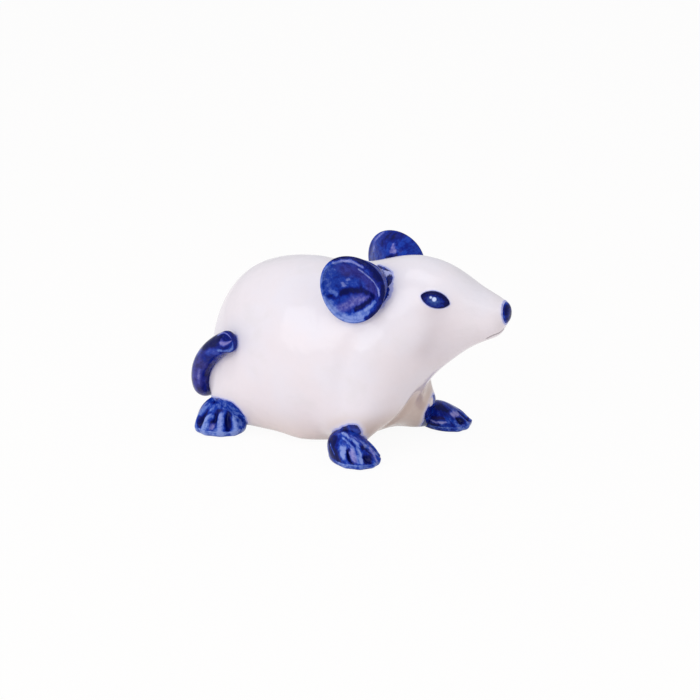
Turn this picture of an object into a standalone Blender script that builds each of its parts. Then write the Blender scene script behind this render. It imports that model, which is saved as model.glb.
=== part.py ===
"""Glazed porcelain rat: a hollow cast body with ears, tail, paws, eyes and nose stuck on with slip.

All sizes are metres. X runs toward the snout, Y to the rat's left and Z up. The origin lies on the
ground, in the flat foot under the belly. A place on the skin is given by two numbers: along counts
ribs from the rearmost point of the rump, and around is the angle in degrees about the rib, with 0 on
the rat's left, 90 on the back, 180 on its right and 270 on the belly.
"""
from collections import namedtuple
import math

import bmesh
import bpy
import numpy as np

# Body casting: ribs from the widest one to the lips, then the round ends behind and before them
Rib = namedtuple("Rib", "top_x top_z bottom_x bottom_z half_width")
HIPS = Rib(top_x=-0.0095, top_z=0.0485, bottom_x=-0.0095, bottom_z=-0.0035, half_width=0.0205)
LOIN = Rib(top_x=-0.0015, top_z=0.0484, bottom_x=-0.0015, bottom_z=-0.0050, half_width=0.0204)
BACK = Rib(top_x=0.0067, top_z=0.0492, bottom_x=0.0090, bottom_z=-0.0002, half_width=0.0182)
SHOULDERS = Rib(top_x=0.0135, top_z=0.0507, bottom_x=0.0208, bottom_z=0.0075, half_width=0.0157)
NECK = Rib(top_x=0.0206, top_z=0.0526, bottom_x=0.0276, bottom_z=0.0173, half_width=0.0131)
CROWN = Rib(top_x=0.0278, top_z=0.0529, bottom_x=0.0345, bottom_z=0.0248, half_width=0.0110)
BROW = Rib(top_x=0.0352, top_z=0.0507, bottom_x=0.0406, bottom_z=0.0297, half_width=0.0092)
MUZZLE = Rib(top_x=0.0425, top_z=0.0466, bottom_x=0.0457, bottom_z=0.0325, half_width=0.0067)
LIPS = Rib(top_x=0.0485, top_z=0.0437, bottom_x=0.0493, bottom_z=0.0352, half_width=0.0043)
RIBS = (HIPS, LOIN, BACK, SHOULDERS, NECK, CROWN, BROW, MUZZLE, LIPS)
RUMP_REACH = 0.0290         # from the hips back to the rearmost point
RUMP_STEPS = 3              # ribs in the round rump, the rearmost point with them
SNOUT_TIP_X = 0.0504
SNOUT_TIP_Z = 0.0405
BELLY_SPREAD = 0.10         # how much wider than an ellipse the trunk is below its middle
FOOT_EASE = 0.0020          # depth over which the belly rounds into its flat foot
WALL = 0.0030               # cast wall
VENT_X = -0.0140
VENT_RADIUS = 0.0015
VENT_CUTTER_LENGTH = 0.012
VENT_POINTS = 20

# Head turned to the rat's left, easing in from the loin and up from the belly
HEAD_TURN = math.radians(12)
NECK_AXIS_X = 0.0120
TURN_STARTS_X = -0.0040
TURN_ENDS_X = 0.0260
TURN_STARTS_Z = 0.0040
TURN_ENDS_Z = 0.0240

# Legs: swellings of the casting, each over the paw that it stands on
Leg = namedtuple("Leg", "along around ahead out down spread paw_ahead paw_out paw_high toes")
LEGS = {
    "front_right": Leg(along=5.5, around=222, ahead=0.0025, out=0.0040, down=0.0070, spread=0.0052,
                       paw_ahead=0.0016, paw_out=0.0012, paw_high=0.0085, toes=-4),
    "front_left": Leg(along=5.75, around=314, ahead=0.0018, out=0.0056, down=0.0115, spread=0.0058,
                      paw_ahead=0.0042, paw_out=0.0016, paw_high=0.0068, toes=8),
    "rear_right": Leg(along=2.0, around=220, ahead=-0.0034, out=0.0038, down=0.0020, spread=0.0090,
                      paw_ahead=0.0012, paw_out=0.0003, paw_high=0.0092, toes=-62),
    "rear_left": Leg(along=2.0, around=320, ahead=-0.0034, out=0.0038, down=0.0020, spread=0.0090,
                     paw_ahead=0.0012, paw_out=0.0003, paw_high=0.0092, toes=62),
}

# Slip film left between two pieces that are stuck together
SLIP = 0.0003

# Paws
FRONT_PAW_LENGTH = 0.0152
FRONT_PAW_WIDTH = 0.0115
REAR_PAW_LENGTH = 0.0142
REAR_PAW_WIDTH = 0.0143
PAW_LEAN = 0.0025           # how far the ankle stands behind the middle of the sole
SOLE_INSET = 0.0010
SOLE_HEIGHT = 0.0018        # height at which a paw is widest
TOE_GROOVE_DEPTH = 0.0010
TOE_GROOVE_ANGLES = (-30, 0, 30)
TOE_GROOVE_SPREAD = 7
TOE_GROOVE_TOP = 0.2        # where a groove starts, and where it is full: shares of the way down
TOE_GROOVE_FULL = 0.7
TOE_SLOPE = 0.8             # how much longer a paw slopes toward its toes
TOE_WIDENING = 0.12         # how much wider a paw is at its toes

# Ears: dishes that open sideways
EAR_ALONG = 5.8
EAR_AROUND = 50
EAR_STAND_OFF = 0.0053      # from the skin to the middle of the rim
EAR_LIFT = 0.0012
LEFT_EAR_BACK = 0.0016      # the ears are stuck on by hand, the left one a little further back
EAR_LONG_RADIUS = 0.0092    # of the outer edge
EAR_SHORT_RADIUS = 0.0090
EAR_WIDENING = 0.10         # how much wider an ear is at its lower end
EAR_CROWNWARD = 0.0003      # how far the outer edge is set toward the crown, where the wall is thick
DISH_LONG_RADIUS = 0.0081
DISH_SHORT_RADIUS = 0.0071
DISH_DOWNWARD = 0.0004      # how far the dish is set away from the crown
EAR_SLOPE = math.radians(43)
EAR_FACES_AHEAD = 0.09
EAR_HOLLOW = 0.0036
EAR_LIP = 0.0007            # how far the rolled lip stands over the dish
EAR_ROOT = 0.0039           # extra thickness behind the middle of the dish
EAR_ROOT_AHEAD = 0.0028     # how far the root lies ahead of the middle of the rim
EAR_ROOT_CROWNWARD = 0.0022 # how far the root lies nearer the crown than the middle of the rim

# Tail: a roll laid round the rump, given by the places on the skin that it passes over
TAIL_ROOT_RADIUS = 0.0025
TAIL_TIP_RADIUS = 0.0031
TAIL_TIP_ROUND = 0.0018     # length over which the blunt tip rounds off
TAIL_BED = 0.0005           # how deep the roll is pressed toward the skin
TAIL_ROOT_SINK = 0.0030     # how much deeper it starts, where it grows out of the rump
TAIL_UPWARD = (0.1, 0.2, 1.0)   # a direction that the tail never runs along
TAIL_ROOT_SHARE = 0.25      # share of the tail over which it rises out of the rump
TAIL_PATH = ((0.6, 268), (0.95, 246), (1.25, 229), (1.43, 215), (1.48, 203), (1.58, 192), (1.8, 181),
             (2.08, 173), (2.33, 169))

# Eyes and nose: beads of slip
EYE_ALONG = 8.5
EYE_AROUND = 22
EYE_HALF_LENGTH = 0.0040
EYE_HALF_HEIGHT = 0.0022
EYE_PROUD = 0.0012
EYE_TILT = math.radians(-14)
EYE_POINT = 0.35            # how pointed its corners are; 0 is an oval
EYE_THICKNESS = 0.0024
NOSE_ALONG = 11.95
NOSE_AROUND = 90
NOSE_HALF_LENGTH = 0.0031
NOSE_HALF_WIDTH = 0.0029
NOSE_PROUD = 0.0006
NOSE_THICKNESS = 0.0034

# Fineness of the surfaces, in rings along and points around
BODY_RINGS, BODY_POINTS = 50, 36
CAVITY_RINGS, CAVITY_POINTS = 22, 18
TAIL_RINGS, TAIL_POINTS = 30, 12
PAW_RINGS, PAW_POINTS = 9, 36
EAR_POINTS = 32
DISH_STEPS = (0.3, 0.55, 0.75, 0.9)             # shares of the dish that have a ring
LIP_TURNS = (0, 60, 120, 180)                   # degrees over the lip, from the dish to the edge
EAR_BACK_STEPS = (0.92, 0.8, 0.65, 0.5, 0.3)    # shares of the outer edge that have a ring
BEAD_RINGS, BEAD_POINTS = 6, 18
RING_EASE = 0.25            # how much closer together the rings are at the round ends
SAMPLE_STEP = 0.01          # step along or around over which the skin's slope is taken

WHITE = (0.86, 0.82, 0.86)
COBALT = (0.012, 0.025, 0.26)
DEEP_COBALT = (0.008, 0.016, 0.17)
GLAZE_ROUGHNESS = 0.10


def smooth_step(t):
    """Rise from 0 to 1 with no corner at either end."""
    t = np.clip(t, 0.0, 1.0)
    return t * t * t * (10 - 15 * t + 6 * t * t)


def spline(rows, at):
    """Smooth curve through rows that lie at 0, 1, 2 and so on."""
    count = len(rows)
    bend = np.zeros((count, count))
    pull = np.zeros_like(rows)
    bend[0, 0] = 1
    bend[-1, -1] = 1
    for k in range(1, count - 1):
        bend[k, k - 1:k + 2] = (1, 4, 1)
        pull[k] = 6 * (rows[k + 1] - 2 * rows[k] + rows[k - 1])
    second = np.linalg.solve(bend, pull)
    k = np.clip(np.floor(at).astype(int), 0, count - 2)
    after = (at - k)[:, None]
    before = 1 - after
    straight = rows[k] * before + rows[k + 1] * after
    sag = second[k] * (before ** 3 - before) + second[k + 1] * (after ** 3 - after)
    return straight + sag / 6


def rib_rows():
    """Each rib as middle x and z, half the run from bottom to top, half width and spread."""
    middle_z = (HIPS.top_z + HIPS.bottom_z) / 2
    half_height = (HIPS.top_z - HIPS.bottom_z) / 2
    rows = []
    for k in range(RUMP_STEPS):
        turn = math.radians(90) * k / RUMP_STEPS
        x = HIPS.top_x - RUMP_REACH * math.cos(turn)
        rise = half_height * math.sin(turn)
        rows.append((x, middle_z, 0, rise, HIPS.half_width * math.sin(turn), BELLY_SPREAD))
    for rib in RIBS:
        middle = ((rib.top_x + rib.bottom_x) / 2, (rib.top_z + rib.bottom_z) / 2)
        half_run = ((rib.top_x - rib.bottom_x) / 2, (rib.top_z - rib.bottom_z) / 2)
        spread = BELLY_SPREAD if rib in (HIPS, LOIN, BACK, SHOULDERS) else 0
        rows.append((*middle, *half_run, rib.half_width, spread))
    rows.append((SNOUT_TIP_X, SNOUT_TIP_Z, 0, 0, 0, 0))
    return np.array(rows)


LAST_RIB = RUMP_STEPS + len(RIBS)


def ribs_at(along):
    """Ribs between the given ones; past each end they mirror, which makes the ends round."""
    rows = rib_rows()
    mirror = np.array((1, 1, -1, -1, -1, 1))
    rows = np.vstack((rows[2:0:-1] * mirror, rows, rows[-2:-4:-1] * mirror))
    return spline(rows, along + 2.0)


def lofted(along, around):
    """Points on the plain trunk and head, before legs, foot and turn."""
    x, z, run_x, run_z, half_width, spread = ribs_at(along).T
    up = np.sin(around)
    side = np.cos(around)
    return np.stack((x + run_x * up, half_width * side * (1 - spread * up), z + run_z * up), axis=-1)


def swollen(points):
    """Push the legs out of the trunk."""
    out = points.copy()
    for leg in LEGS.values():
        root = leg_root(leg)
        side = math.copysign(1, root[1])
        near = np.exp(-((points - root) ** 2).sum(axis=-1) / (2 * leg.spread ** 2))
        out += near[..., None] * np.array((leg.ahead, side * leg.out, -leg.down))
    return out


def leg_root(leg):
    return lofted(np.array([leg.along]), np.radians([leg.around]))[0]


def settled(points):
    """Flatten what lies below the ground, easing in over the foot."""
    out = points.copy()
    z = points[..., 2]
    ease = np.maximum(FOOT_EASE - np.abs(z), 0) ** 2 / (4 * FOOT_EASE)
    out[..., 2] = np.maximum(z, 0) + ease
    return out


def turn_at(points):
    """Angle by which the neck has turned the head at each point."""
    ahead = smooth_step((points[..., 0] - TURN_STARTS_X) / (TURN_ENDS_X - TURN_STARTS_X))
    above = smooth_step((points[..., 2] - TURN_STARTS_Z) / (TURN_ENDS_Z - TURN_STARTS_Z))
    return HEAD_TURN * ahead * above


def turned(points):
    out = points.copy()
    turn = turn_at(points)
    x = points[..., 0] - NECK_AXIS_X
    y = points[..., 1]
    out[..., 0] = NECK_AXIS_X + x * np.cos(turn) - y * np.sin(turn)
    out[..., 1] = x * np.sin(turn) + y * np.cos(turn)
    return out


def skin(along, around, legs=True):
    """Outer surface of the body at each pair of along and around, angles in radians."""
    along, around = np.broadcast_arrays(np.asarray(along, float), np.asarray(around, float))
    points = lofted(along.ravel(), around.ravel())
    if legs:
        points = swollen(points)
    return turned(settled(points)).reshape(along.shape + (3,))


def outward(along, around, legs=True):
    """Unit normal of the skin, taken a little inside the two end points."""
    step = SAMPLE_STEP
    along, around = np.broadcast_arrays(np.asarray(along, float), np.asarray(around, float))
    inside = np.clip(along, 2 * step, LAST_RIB - 2 * step)
    across = skin(inside, around + step, legs) - skin(inside, around - step, legs)
    onward = skin(inside + step, around, legs) - skin(inside - step, around, legs)
    normal = np.cross(across, onward)
    return normal / np.linalg.norm(normal, axis=-1, keepdims=True)


def closed_rings(name, rings, first, last):
    """Mesh of a round closed shape from its rings of points and its two end points."""
    count = len(rings[0])
    mesh = bmesh.new()
    start = mesh.verts.new(first)
    rows = [[mesh.verts.new(point) for point in ring] for ring in rings]
    end = mesh.verts.new(last)
    for k in range(count):
        after = (k + 1) % count
        mesh.faces.new((start, rows[0][after], rows[0][k]))
        for near, far in zip(rows, rows[1:]):
            mesh.faces.new((near[k], near[after], far[after], far[k]))
        mesh.faces.new((rows[-1][k], rows[-1][after], end))
    bmesh.ops.triangulate(mesh, faces=mesh.faces, quad_method="FIXED")
    bmesh.ops.recalc_face_normals(mesh, faces=mesh.faces)
    data = bpy.data.meshes.new(name)
    mesh.to_mesh(data)
    mesh.free()
    data.shade_smooth()
    thing = bpy.data.objects.new(name, data)
    bpy.context.collection.objects.link(thing)
    return thing


def paint(thing, colour):
    """Give the piece its own glazed material."""
    material = bpy.data.materials.new(thing.name + "_glaze")
    material.use_nodes = True
    shader = material.node_tree.nodes["Principled BSDF"]
    shader.inputs["Base Color"].default_value = (*colour, 1)
    shader.inputs["Roughness"].default_value = GLAZE_ROUGHNESS
    shader.inputs["Metallic"].default_value = 0
    thing.data.materials.append(material)


def as_cutter(thing):
    thing.hide_render = True
    thing.display_type = "WIRE"
    return thing


def cut(thing, cutter):
    boolean = thing.modifiers.new("cut_by_" + cutter.name, "BOOLEAN")
    boolean.operation = "DIFFERENCE"
    boolean.solver = "EXACT"
    boolean.object = cutter


def ring_places(start, stop, count):
    """Places along the body, closer together toward the round ends."""
    even = np.linspace(0, 1, count + 2)[1:-1]
    eased = (1 - np.cos(math.pi * even)) / 2
    return start + (stop - start) * (even + RING_EASE * (eased - even))


def offset_body(name, grow, stop, ring_count, point_count, legs=True):
    """Closed shape at a distance from the skin, from the rump to a place along the body."""
    along = ring_places(0, stop, ring_count)[:, None]
    around = np.linspace(0, math.tau, point_count, endpoint=False)[None, :]
    rings = skin(along, around, legs) + grow * outward(along, around, legs)
    ends = []
    for place in (0, stop):
        ring = skin(place, around[0], legs) + grow * outward(place, around[0], legs)
        ends.append(ring.mean(axis=0))
    return closed_rings(name, rings, ends[0], ends[1])


def make_body():
    """Hollow casting with a vent in its flat foot; the snout and the leg stumps are cast solid."""
    body = offset_body("body_shell", 0, LAST_RIB, BODY_RINGS, BODY_POINTS)
    paint(body, WHITE)
    cavity_end = RUMP_STEPS + RIBS.index(BROW)
    cavity = offset_body("cavity", -WALL, cavity_end, CAVITY_RINGS, CAVITY_POINTS, legs=False)
    cut(body, as_cutter(cavity))
    bpy.ops.mesh.primitive_cylinder_add(vertices=VENT_POINTS, radius=VENT_RADIUS,
                                        depth=VENT_CUTTER_LENGTH, location=(VENT_X, 0, 0))
    vent = bpy.context.object
    vent.name = "vent"
    cut(body, as_cutter(vent))
    return body


def make_clearance():
    """The body grown by the slip film, which every piece that is stuck on is cut by."""
    return as_cutter(offset_body("slip_film", SLIP, LAST_RIB, BODY_RINGS, BODY_POINTS))


def paw_ring(part, length, width, paw_high):
    """Ring of the paw at a part of the way from the ankle, 0, to the widest place, 1."""
    angle = np.linspace(0, math.tau, PAW_POINTS, endpoint=False)
    forward = np.cos(angle)
    reach = math.sin(part * math.pi / 2)
    drop = math.cos(part * math.pi / 2)
    from_toe = (np.degrees(angle) + 180) % 360 - 180
    groove = np.zeros(PAW_POINTS)
    for toe in TOE_GROOVE_ANGLES:
        groove += np.exp(-((from_toe - toe) / TOE_GROOVE_SPREAD) ** 2)
    groove *= TOE_GROOVE_DEPTH * smooth_step((part - TOE_GROOVE_TOP) / (TOE_GROOVE_FULL - TOE_GROOVE_TOP))
    slope = 1 + TOE_SLOPE * np.maximum(forward, 0)
    x = (length / 2 * reach - groove) * forward - PAW_LEAN * drop
    y = (width / 2 * reach - groove) * np.sin(angle) * (1 + TOE_WIDENING * forward)
    z = SOLE_HEIGHT + (paw_high - SOLE_HEIGHT) * drop ** slope - groove * drop
    return np.stack((x, y, z), axis=-1)


def make_paw(name, leg, length, width, film):
    """Dome with toes pressed into its front, flat under the sole."""
    rings = [paw_ring((k + 1) / PAW_RINGS, length, width, leg.paw_high) for k in range(PAW_RINGS)]
    widest = rings[-1]
    reach = np.linalg.norm(widest[:, :2], axis=1, keepdims=True)
    for turn in (math.radians(45), math.radians(90)):
        lower = widest.copy()
        lower[:, :2] *= 1 - SOLE_INSET * (1 - math.cos(turn)) / reach
        lower[:, 2] = SOLE_HEIGHT * (1 - math.sin(turn))
        rings.append(lower)
    ankle = (-PAW_LEAN, 0, leg.paw_high)
    paw = closed_rings(name, rings, ankle, (0, 0, 0))
    root = swollen(leg_root(leg)[None, :])[0]
    side = math.copysign(1, root[1])
    paw.location = (root[0] + leg.paw_ahead, root[1] + side * leg.paw_out, 0)
    paw.rotation_euler = (0, 0, math.radians(leg.toes))
    paint(paw, COBALT)
    cut(paw, film)
    return paw


def ear_frame(side):
    """Middle of the rim, then the ways along its long and short axis, out of the dish and ahead."""
    around = math.radians(EAR_AROUND if side > 0 else 180 - EAR_AROUND)
    seat = lofted(np.array([EAR_ALONG]), np.array([around]))
    turn = turn_at(seat)[0]
    spin = np.array(((math.cos(turn), -math.sin(turn), 0), (math.sin(turn), math.cos(turn), 0), (0, 0, 1)))
    out = np.array((EAR_FACES_AHEAD, side, 0))
    out /= np.linalg.norm(out)
    long_way = np.array((math.cos(EAR_SLOPE), 0, -math.sin(EAR_SLOPE)))
    long_way -= out * long_way.dot(out)
    long_way /= np.linalg.norm(long_way)
    short_way = np.cross(out, long_way) * side
    back = LEFT_EAR_BACK if side > 0 else 0
    middle = turned(seat)[0] + spin @ np.array((-back, side * EAR_STAND_OFF, EAR_LIFT))
    return middle, spin @ long_way, spin @ short_way, spin @ out, spin[:, 0]


def ear_profile():
    """Steps from the hollow over the lip to the back: shares of dish and edge, height, share of root."""
    steps = [(part, 0.0, -EAR_HOLLOW * (1 - part ** 2), 0.0) for part in DISH_STEPS]
    for degrees in LIP_TURNS:
        turn = math.radians(degrees)
        steps.append(((1 + math.cos(turn)) / 2, (1 - math.cos(turn)) / 2, EAR_LIP * math.sin(turn), 0.0))
    back = EAR_HOLLOW + EAR_ROOT
    for part in EAR_BACK_STEPS:
        steps.append((0.0, part, -back * (1 - part ** 2), 1 - part ** 2))
    return steps, -EAR_HOLLOW, -back


def make_ear(name, side, film):
    """Cupped dish with a thick root that is pressed on to the side of the head."""
    middle, long_way, short_way, out, onward = ear_frame(side)
    angle = np.linspace(0, math.tau, EAR_POINTS, endpoint=False)[:, None]
    wide = np.sin(angle) * (1 + EAR_WIDENING * np.cos(angle))
    steps, hollow_height, back_height = ear_profile()
    rings = []
    root_step = EAR_ROOT_AHEAD * onward - EAR_ROOT_CROWNWARD * short_way
    for dish, outer, height, rooted in steps:
        long_part = (DISH_LONG_RADIUS * dish + EAR_LONG_RADIUS * outer) * np.cos(angle)
        short_part = (DISH_SHORT_RADIUS * dish + EAR_SHORT_RADIUS * outer) * wide
        short_part = short_part + DISH_DOWNWARD * dish - EAR_CROWNWARD * outer
        centre = middle + height * out + rooted * root_step
        rings.append(centre + long_part * long_way + short_part * short_way)
    back = middle + back_height * out + root_step
    ear = closed_rings(name, rings, middle + hollow_height * out, back)
    paint(ear, COBALT)
    cut(ear, film)
    return ear


def tail_line(part, thickness):
    """Middle of the tail from its root, 0, to its tip, 1, for its radius at each place."""
    path = np.array(TAIL_PATH, float)
    at = spline(path, part * (len(path) - 1))
    around = np.radians(at[:, 1])
    height = thickness - TAIL_BED - TAIL_ROOT_SINK * (1 - smooth_step(part / TAIL_ROOT_SHARE))
    return skin(at[:, 0], around) + height[:, None] * outward(at[:, 0], around)


def make_tail(film):
    """Roll of clay that thickens to a blunt tip, laid on the rump."""
    part = np.linspace(0, 1, TAIL_RINGS + 2)
    thickness = TAIL_ROOT_RADIUS + (TAIL_TIP_RADIUS - TAIL_ROOT_RADIUS) * part
    middle = tail_line(part, thickness)
    onward = np.gradient(middle, axis=0)
    onward /= np.linalg.norm(onward, axis=1, keepdims=True)
    run = np.concatenate(([0], np.cumsum(np.linalg.norm(np.diff(middle, axis=0), axis=1))))
    to_end = np.minimum(run / TAIL_ROOT_RADIUS, (run[-1] - run) / TAIL_TIP_ROUND)
    to_end = np.minimum(to_end, 1)
    radius = thickness * np.sqrt(1 - (1 - to_end) ** 2)
    upward = np.array(TAIL_UPWARD)
    across = np.cross(onward, upward)
    across /= np.linalg.norm(across, axis=1, keepdims=True)
    over = np.cross(onward, across)
    angle = np.linspace(0, math.tau, TAIL_POINTS, endpoint=False)
    rings = []
    for k in range(1, TAIL_RINGS + 1):
        round_part = np.outer(np.cos(angle), across[k]) + np.outer(np.sin(angle), over[k])
        rings.append(middle[k] + radius[k] * round_part)
    tail = closed_rings("tail", rings, middle[0], middle[-1])
    paint(tail, DEEP_COBALT)
    cut(tail, film)
    return tail


def make_bead(name, along, around, half_length, half_height, proud, thickness, tilt, point, film):
    """Drop of slip on the skin: an oval, with pointed corners where point is over 0."""
    around = math.radians(around)
    out = outward(along, around)
    seat = skin(along, around) + (proud - thickness / 2) * out
    onward = skin(along + SAMPLE_STEP, around) - skin(along - SAMPLE_STEP, around)
    onward /= np.linalg.norm(onward)
    upward = np.cross(out, onward)
    upward *= math.copysign(1, upward[2])
    onward, upward = (onward * math.cos(tilt) + upward * math.sin(tilt),
                      upward * math.cos(tilt) - onward * math.sin(tilt))
    angle = np.linspace(0, math.tau, BEAD_POINTS, endpoint=False)
    length = np.cos(angle)
    height = np.sin(angle) * np.abs(np.sin(angle)) ** point
    rings = []
    for k in range(1, BEAD_RINGS):
        turn = math.pi * k / BEAD_RINGS
        flat = half_length * length[:, None] * onward + half_height * height[:, None] * upward
        rings.append(seat + math.sin(turn) * flat + thickness / 2 * math.cos(turn) * out)
    bead = closed_rings(name, rings, seat + thickness / 2 * out, seat - thickness / 2 * out)
    paint(bead, DEEP_COBALT)
    cut(bead, film)
    return bead


def build():
    for thing in list(bpy.data.objects):
        bpy.data.objects.remove(thing, do_unlink=True)
    make_body()
    film = make_clearance()
    make_ear("left_ear", 1, film)
    make_ear("right_ear", -1, film)
    make_tail(film)
    for place, leg in LEGS.items():
        front = place.startswith("front")
        length = FRONT_PAW_LENGTH if front else REAR_PAW_LENGTH
        width = FRONT_PAW_WIDTH if front else REAR_PAW_WIDTH
        make_paw(place + "_paw", leg, length, width, film)
    for name, around in (("left_eye", EYE_AROUND), ("right_eye", 180 - EYE_AROUND)):
        make_bead(name, EYE_ALONG, around, EYE_HALF_LENGTH, EYE_HALF_HEIGHT, EYE_PROUD, EYE_THICKNESS,
                  EYE_TILT, EYE_POINT, film)
    make_bead("nose", NOSE_ALONG, NOSE_AROUND, NOSE_HALF_LENGTH, NOSE_HALF_WIDTH, NOSE_PROUD,
              NOSE_THICKNESS, 0.0, 0.0, film)


build()
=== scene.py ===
"""Looks of a small blue and white porcelain rat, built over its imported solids. All sizes are metres."""
from collections import namedtuple
import math

import bmesh
import bpy
import numpy as np
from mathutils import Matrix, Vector
from mathutils.bvhtree import BVHTree


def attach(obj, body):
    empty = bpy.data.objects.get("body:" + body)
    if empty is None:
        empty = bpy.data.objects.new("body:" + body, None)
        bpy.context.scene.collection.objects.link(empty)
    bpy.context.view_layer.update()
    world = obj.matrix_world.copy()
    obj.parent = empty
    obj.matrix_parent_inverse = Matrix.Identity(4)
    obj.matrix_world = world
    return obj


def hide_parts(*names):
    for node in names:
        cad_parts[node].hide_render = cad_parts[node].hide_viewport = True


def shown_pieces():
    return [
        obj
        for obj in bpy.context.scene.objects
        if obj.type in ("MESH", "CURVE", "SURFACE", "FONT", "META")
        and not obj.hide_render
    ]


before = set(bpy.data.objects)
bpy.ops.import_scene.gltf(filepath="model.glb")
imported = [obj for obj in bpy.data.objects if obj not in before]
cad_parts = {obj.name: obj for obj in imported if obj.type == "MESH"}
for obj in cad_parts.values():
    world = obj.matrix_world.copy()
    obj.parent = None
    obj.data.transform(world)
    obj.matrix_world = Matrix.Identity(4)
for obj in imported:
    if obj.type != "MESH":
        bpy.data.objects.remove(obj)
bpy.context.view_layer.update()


# Body casting
# The body and head are one hollow porcelain casting, poured as slip into a plaster mould through the
# belly. The leg stumps are cast on, and the foot under the belly is wiped flat and left unglazed.

Rib = namedtuple("Rib", "top_x top_z bottom_x bottom_z half_width")
HIPS = Rib(top_x=-0.0095, top_z=0.0485, bottom_x=-0.0095, bottom_z=-0.0035, half_width=0.0205)
LOIN = Rib(top_x=-0.0015, top_z=0.0484, bottom_x=-0.0015, bottom_z=-0.0050, half_width=0.0204)
BACK = Rib(top_x=0.0067, top_z=0.0492, bottom_x=0.0090, bottom_z=-0.0002, half_width=0.0182)
SHOULDERS = Rib(top_x=0.0135, top_z=0.0507, bottom_x=0.0208, bottom_z=0.0075, half_width=0.0157)
NECK = Rib(top_x=0.0206, top_z=0.0526, bottom_x=0.0276, bottom_z=0.0173, half_width=0.0131)
CROWN = Rib(top_x=0.0278, top_z=0.0529, bottom_x=0.0345, bottom_z=0.0248, half_width=0.0110)
BROW = Rib(top_x=0.0352, top_z=0.0507, bottom_x=0.0406, bottom_z=0.0297, half_width=0.0092)
MUZZLE = Rib(top_x=0.0425, top_z=0.0466, bottom_x=0.0457, bottom_z=0.0325, half_width=0.0067)
LIPS = Rib(top_x=0.0485, top_z=0.0437, bottom_x=0.0493, bottom_z=0.0352, half_width=0.0043)
RIBS = (HIPS, LOIN, BACK, SHOULDERS, NECK, CROWN, BROW, MUZZLE, LIPS)
RUMP_REACH = 0.0290
RUMP_STEPS = 3
SNOUT_TIP_X = 0.0504
SNOUT_TIP_Z = 0.0405
LAST_RIB = RUMP_STEPS + len(RIBS)
BELLY_SPREAD = 0.10
FOOT_EASE = 0.0020
VENT_X = -0.0140
VENT_RADIUS = 0.0015
VENT_DEPTH = 0.0025
VENT_EDGE = 0.0004

HEAD_TURN = math.radians(12)
NECK_AXIS_X = 0.0120
TURN_STARTS_X = -0.0040
TURN_ENDS_X = 0.0260
TURN_STARTS_Z = 0.0040
TURN_ENDS_Z = 0.0240

# Each leg's root on the trunk, how far its stump swells ahead, out and down and over what spread, where
# its paw lies from there and how high it is, and how many degrees its toes turn
Leg = namedtuple("Leg", "along around ahead out down spread paw_ahead paw_out paw_high toes")
LEGS = {
    "front_right": Leg(along=5.5, around=222, ahead=0.0025, out=0.0040, down=0.0070, spread=0.0052,
                       paw_ahead=0.0016, paw_out=0.0012, paw_high=0.0085, toes=-4),
    "front_left": Leg(along=5.75, around=314, ahead=0.0018, out=0.0056, down=0.0115, spread=0.0058,
                      paw_ahead=0.0042, paw_out=0.0016, paw_high=0.0068, toes=8),
    "rear_right": Leg(along=2.0, around=220, ahead=-0.0034, out=0.0038, down=0.0020, spread=0.0090,
                      paw_ahead=0.0012, paw_out=0.0003, paw_high=0.0092, toes=-62),
}
LEGS["rear_left"] = LEGS["rear_right"]._replace(around=320, toes=62)

BODY_RINGS, BODY_POINTS = 300, 240
RINGS_GATHERED = 0.45       # how far the rings are drawn toward both ends
SAMPLE_STEP = 0.01
SAME_POINT = 0.000001       # points nearer than this are one

# Marks scored or pressed in the skin. The mouth round the underside of the lips, two faint folds over
# the right haunch and a crease in each cheek are given by places of along and around, in degrees. The
# hollow and the lean of the left front leg, the neck's crease and the dab of slip are given by points.
MOUTH = ((10.06, 242), (10.46, 236), (10.85, 244), (11.15, 268), (10.85, 296), (10.46, 304), (10.06, 298))
MOUTH_DEPTH = 0.00022
MOUTH_WIDTH = 0.00026
HAUNCH_FOLDS = (((2.30, 199), (2.40, 194)), ((2.70, 208), (2.78, 211), (2.88, 216)))
FOLD_DEPTH = 0.00012
FOLD_WIDTH = 0.00050
LEG_HOLLOW = ((0.0262, -0.0004, 0.0150), (0.0238, -0.0016, 0.0107), (0.0218, -0.0024, 0.0078),
              (0.0195, -0.0036, 0.0050))
HOLLOW_DEPTH = 0.00070
HOLLOW_WIDTH = 0.0016
KNOB = (0.0208, -0.0060, 0.0489)        # dab of slip left where the near ear meets the crown
KNOB_HEIGHT = 0.0010
KNOB_RADIUS = 0.0013
NECK_CREASE = ((0.0203, -0.0126, 0.0370), (0.0154, -0.0157, 0.0314), (0.0135, -0.0177, 0.0218),
               (0.0134, -0.0184, 0.0135))
CREASE_DEPTH = 0.00055
CREASE_WIDTH = 0.0030
CHEEK_CREASE = ((8.5, 2), (8.4, -12), (8.1, -26), (7.8, -36))
CHEEK_DEPTH = 0.00055
CHEEK_WIDTH = 0.0026
CHEEK_SHADE_SPREAD = 0.0048       # how far the painted shade spreads out of the crease
LEG_LEAN = (((0.0236, 0.0118, 0.0095), 0.0013), ((0.0255, 0.0090, 0.0160), -0.0009))
LEAN_WAY = (0.82, 0.57, 0.0)
LEAN_RADIUS = 0.0032
BARE_DOT = (0.0246, 0.0105, 0.0097)     # a spot by the left front paw that the brush missed
BARE_RADIUS = 0.0008

# Painted shade where the light hardly reaches, between the front legs and under the chest: each pair is
# where the painted shade begins and where it is darkest, along x, y or z
BEHIND_LEG_X = (0.012, 0.018)
BEHIND_LEG_Y = (-0.0032, -0.0010)
BEHIND_LEG_Z = (0.021, 0.011)
UNDER_CHEST_X = (0.006, 0.017)
UNDER_CHEST_Z = (0.0155, 0.0055)


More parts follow.
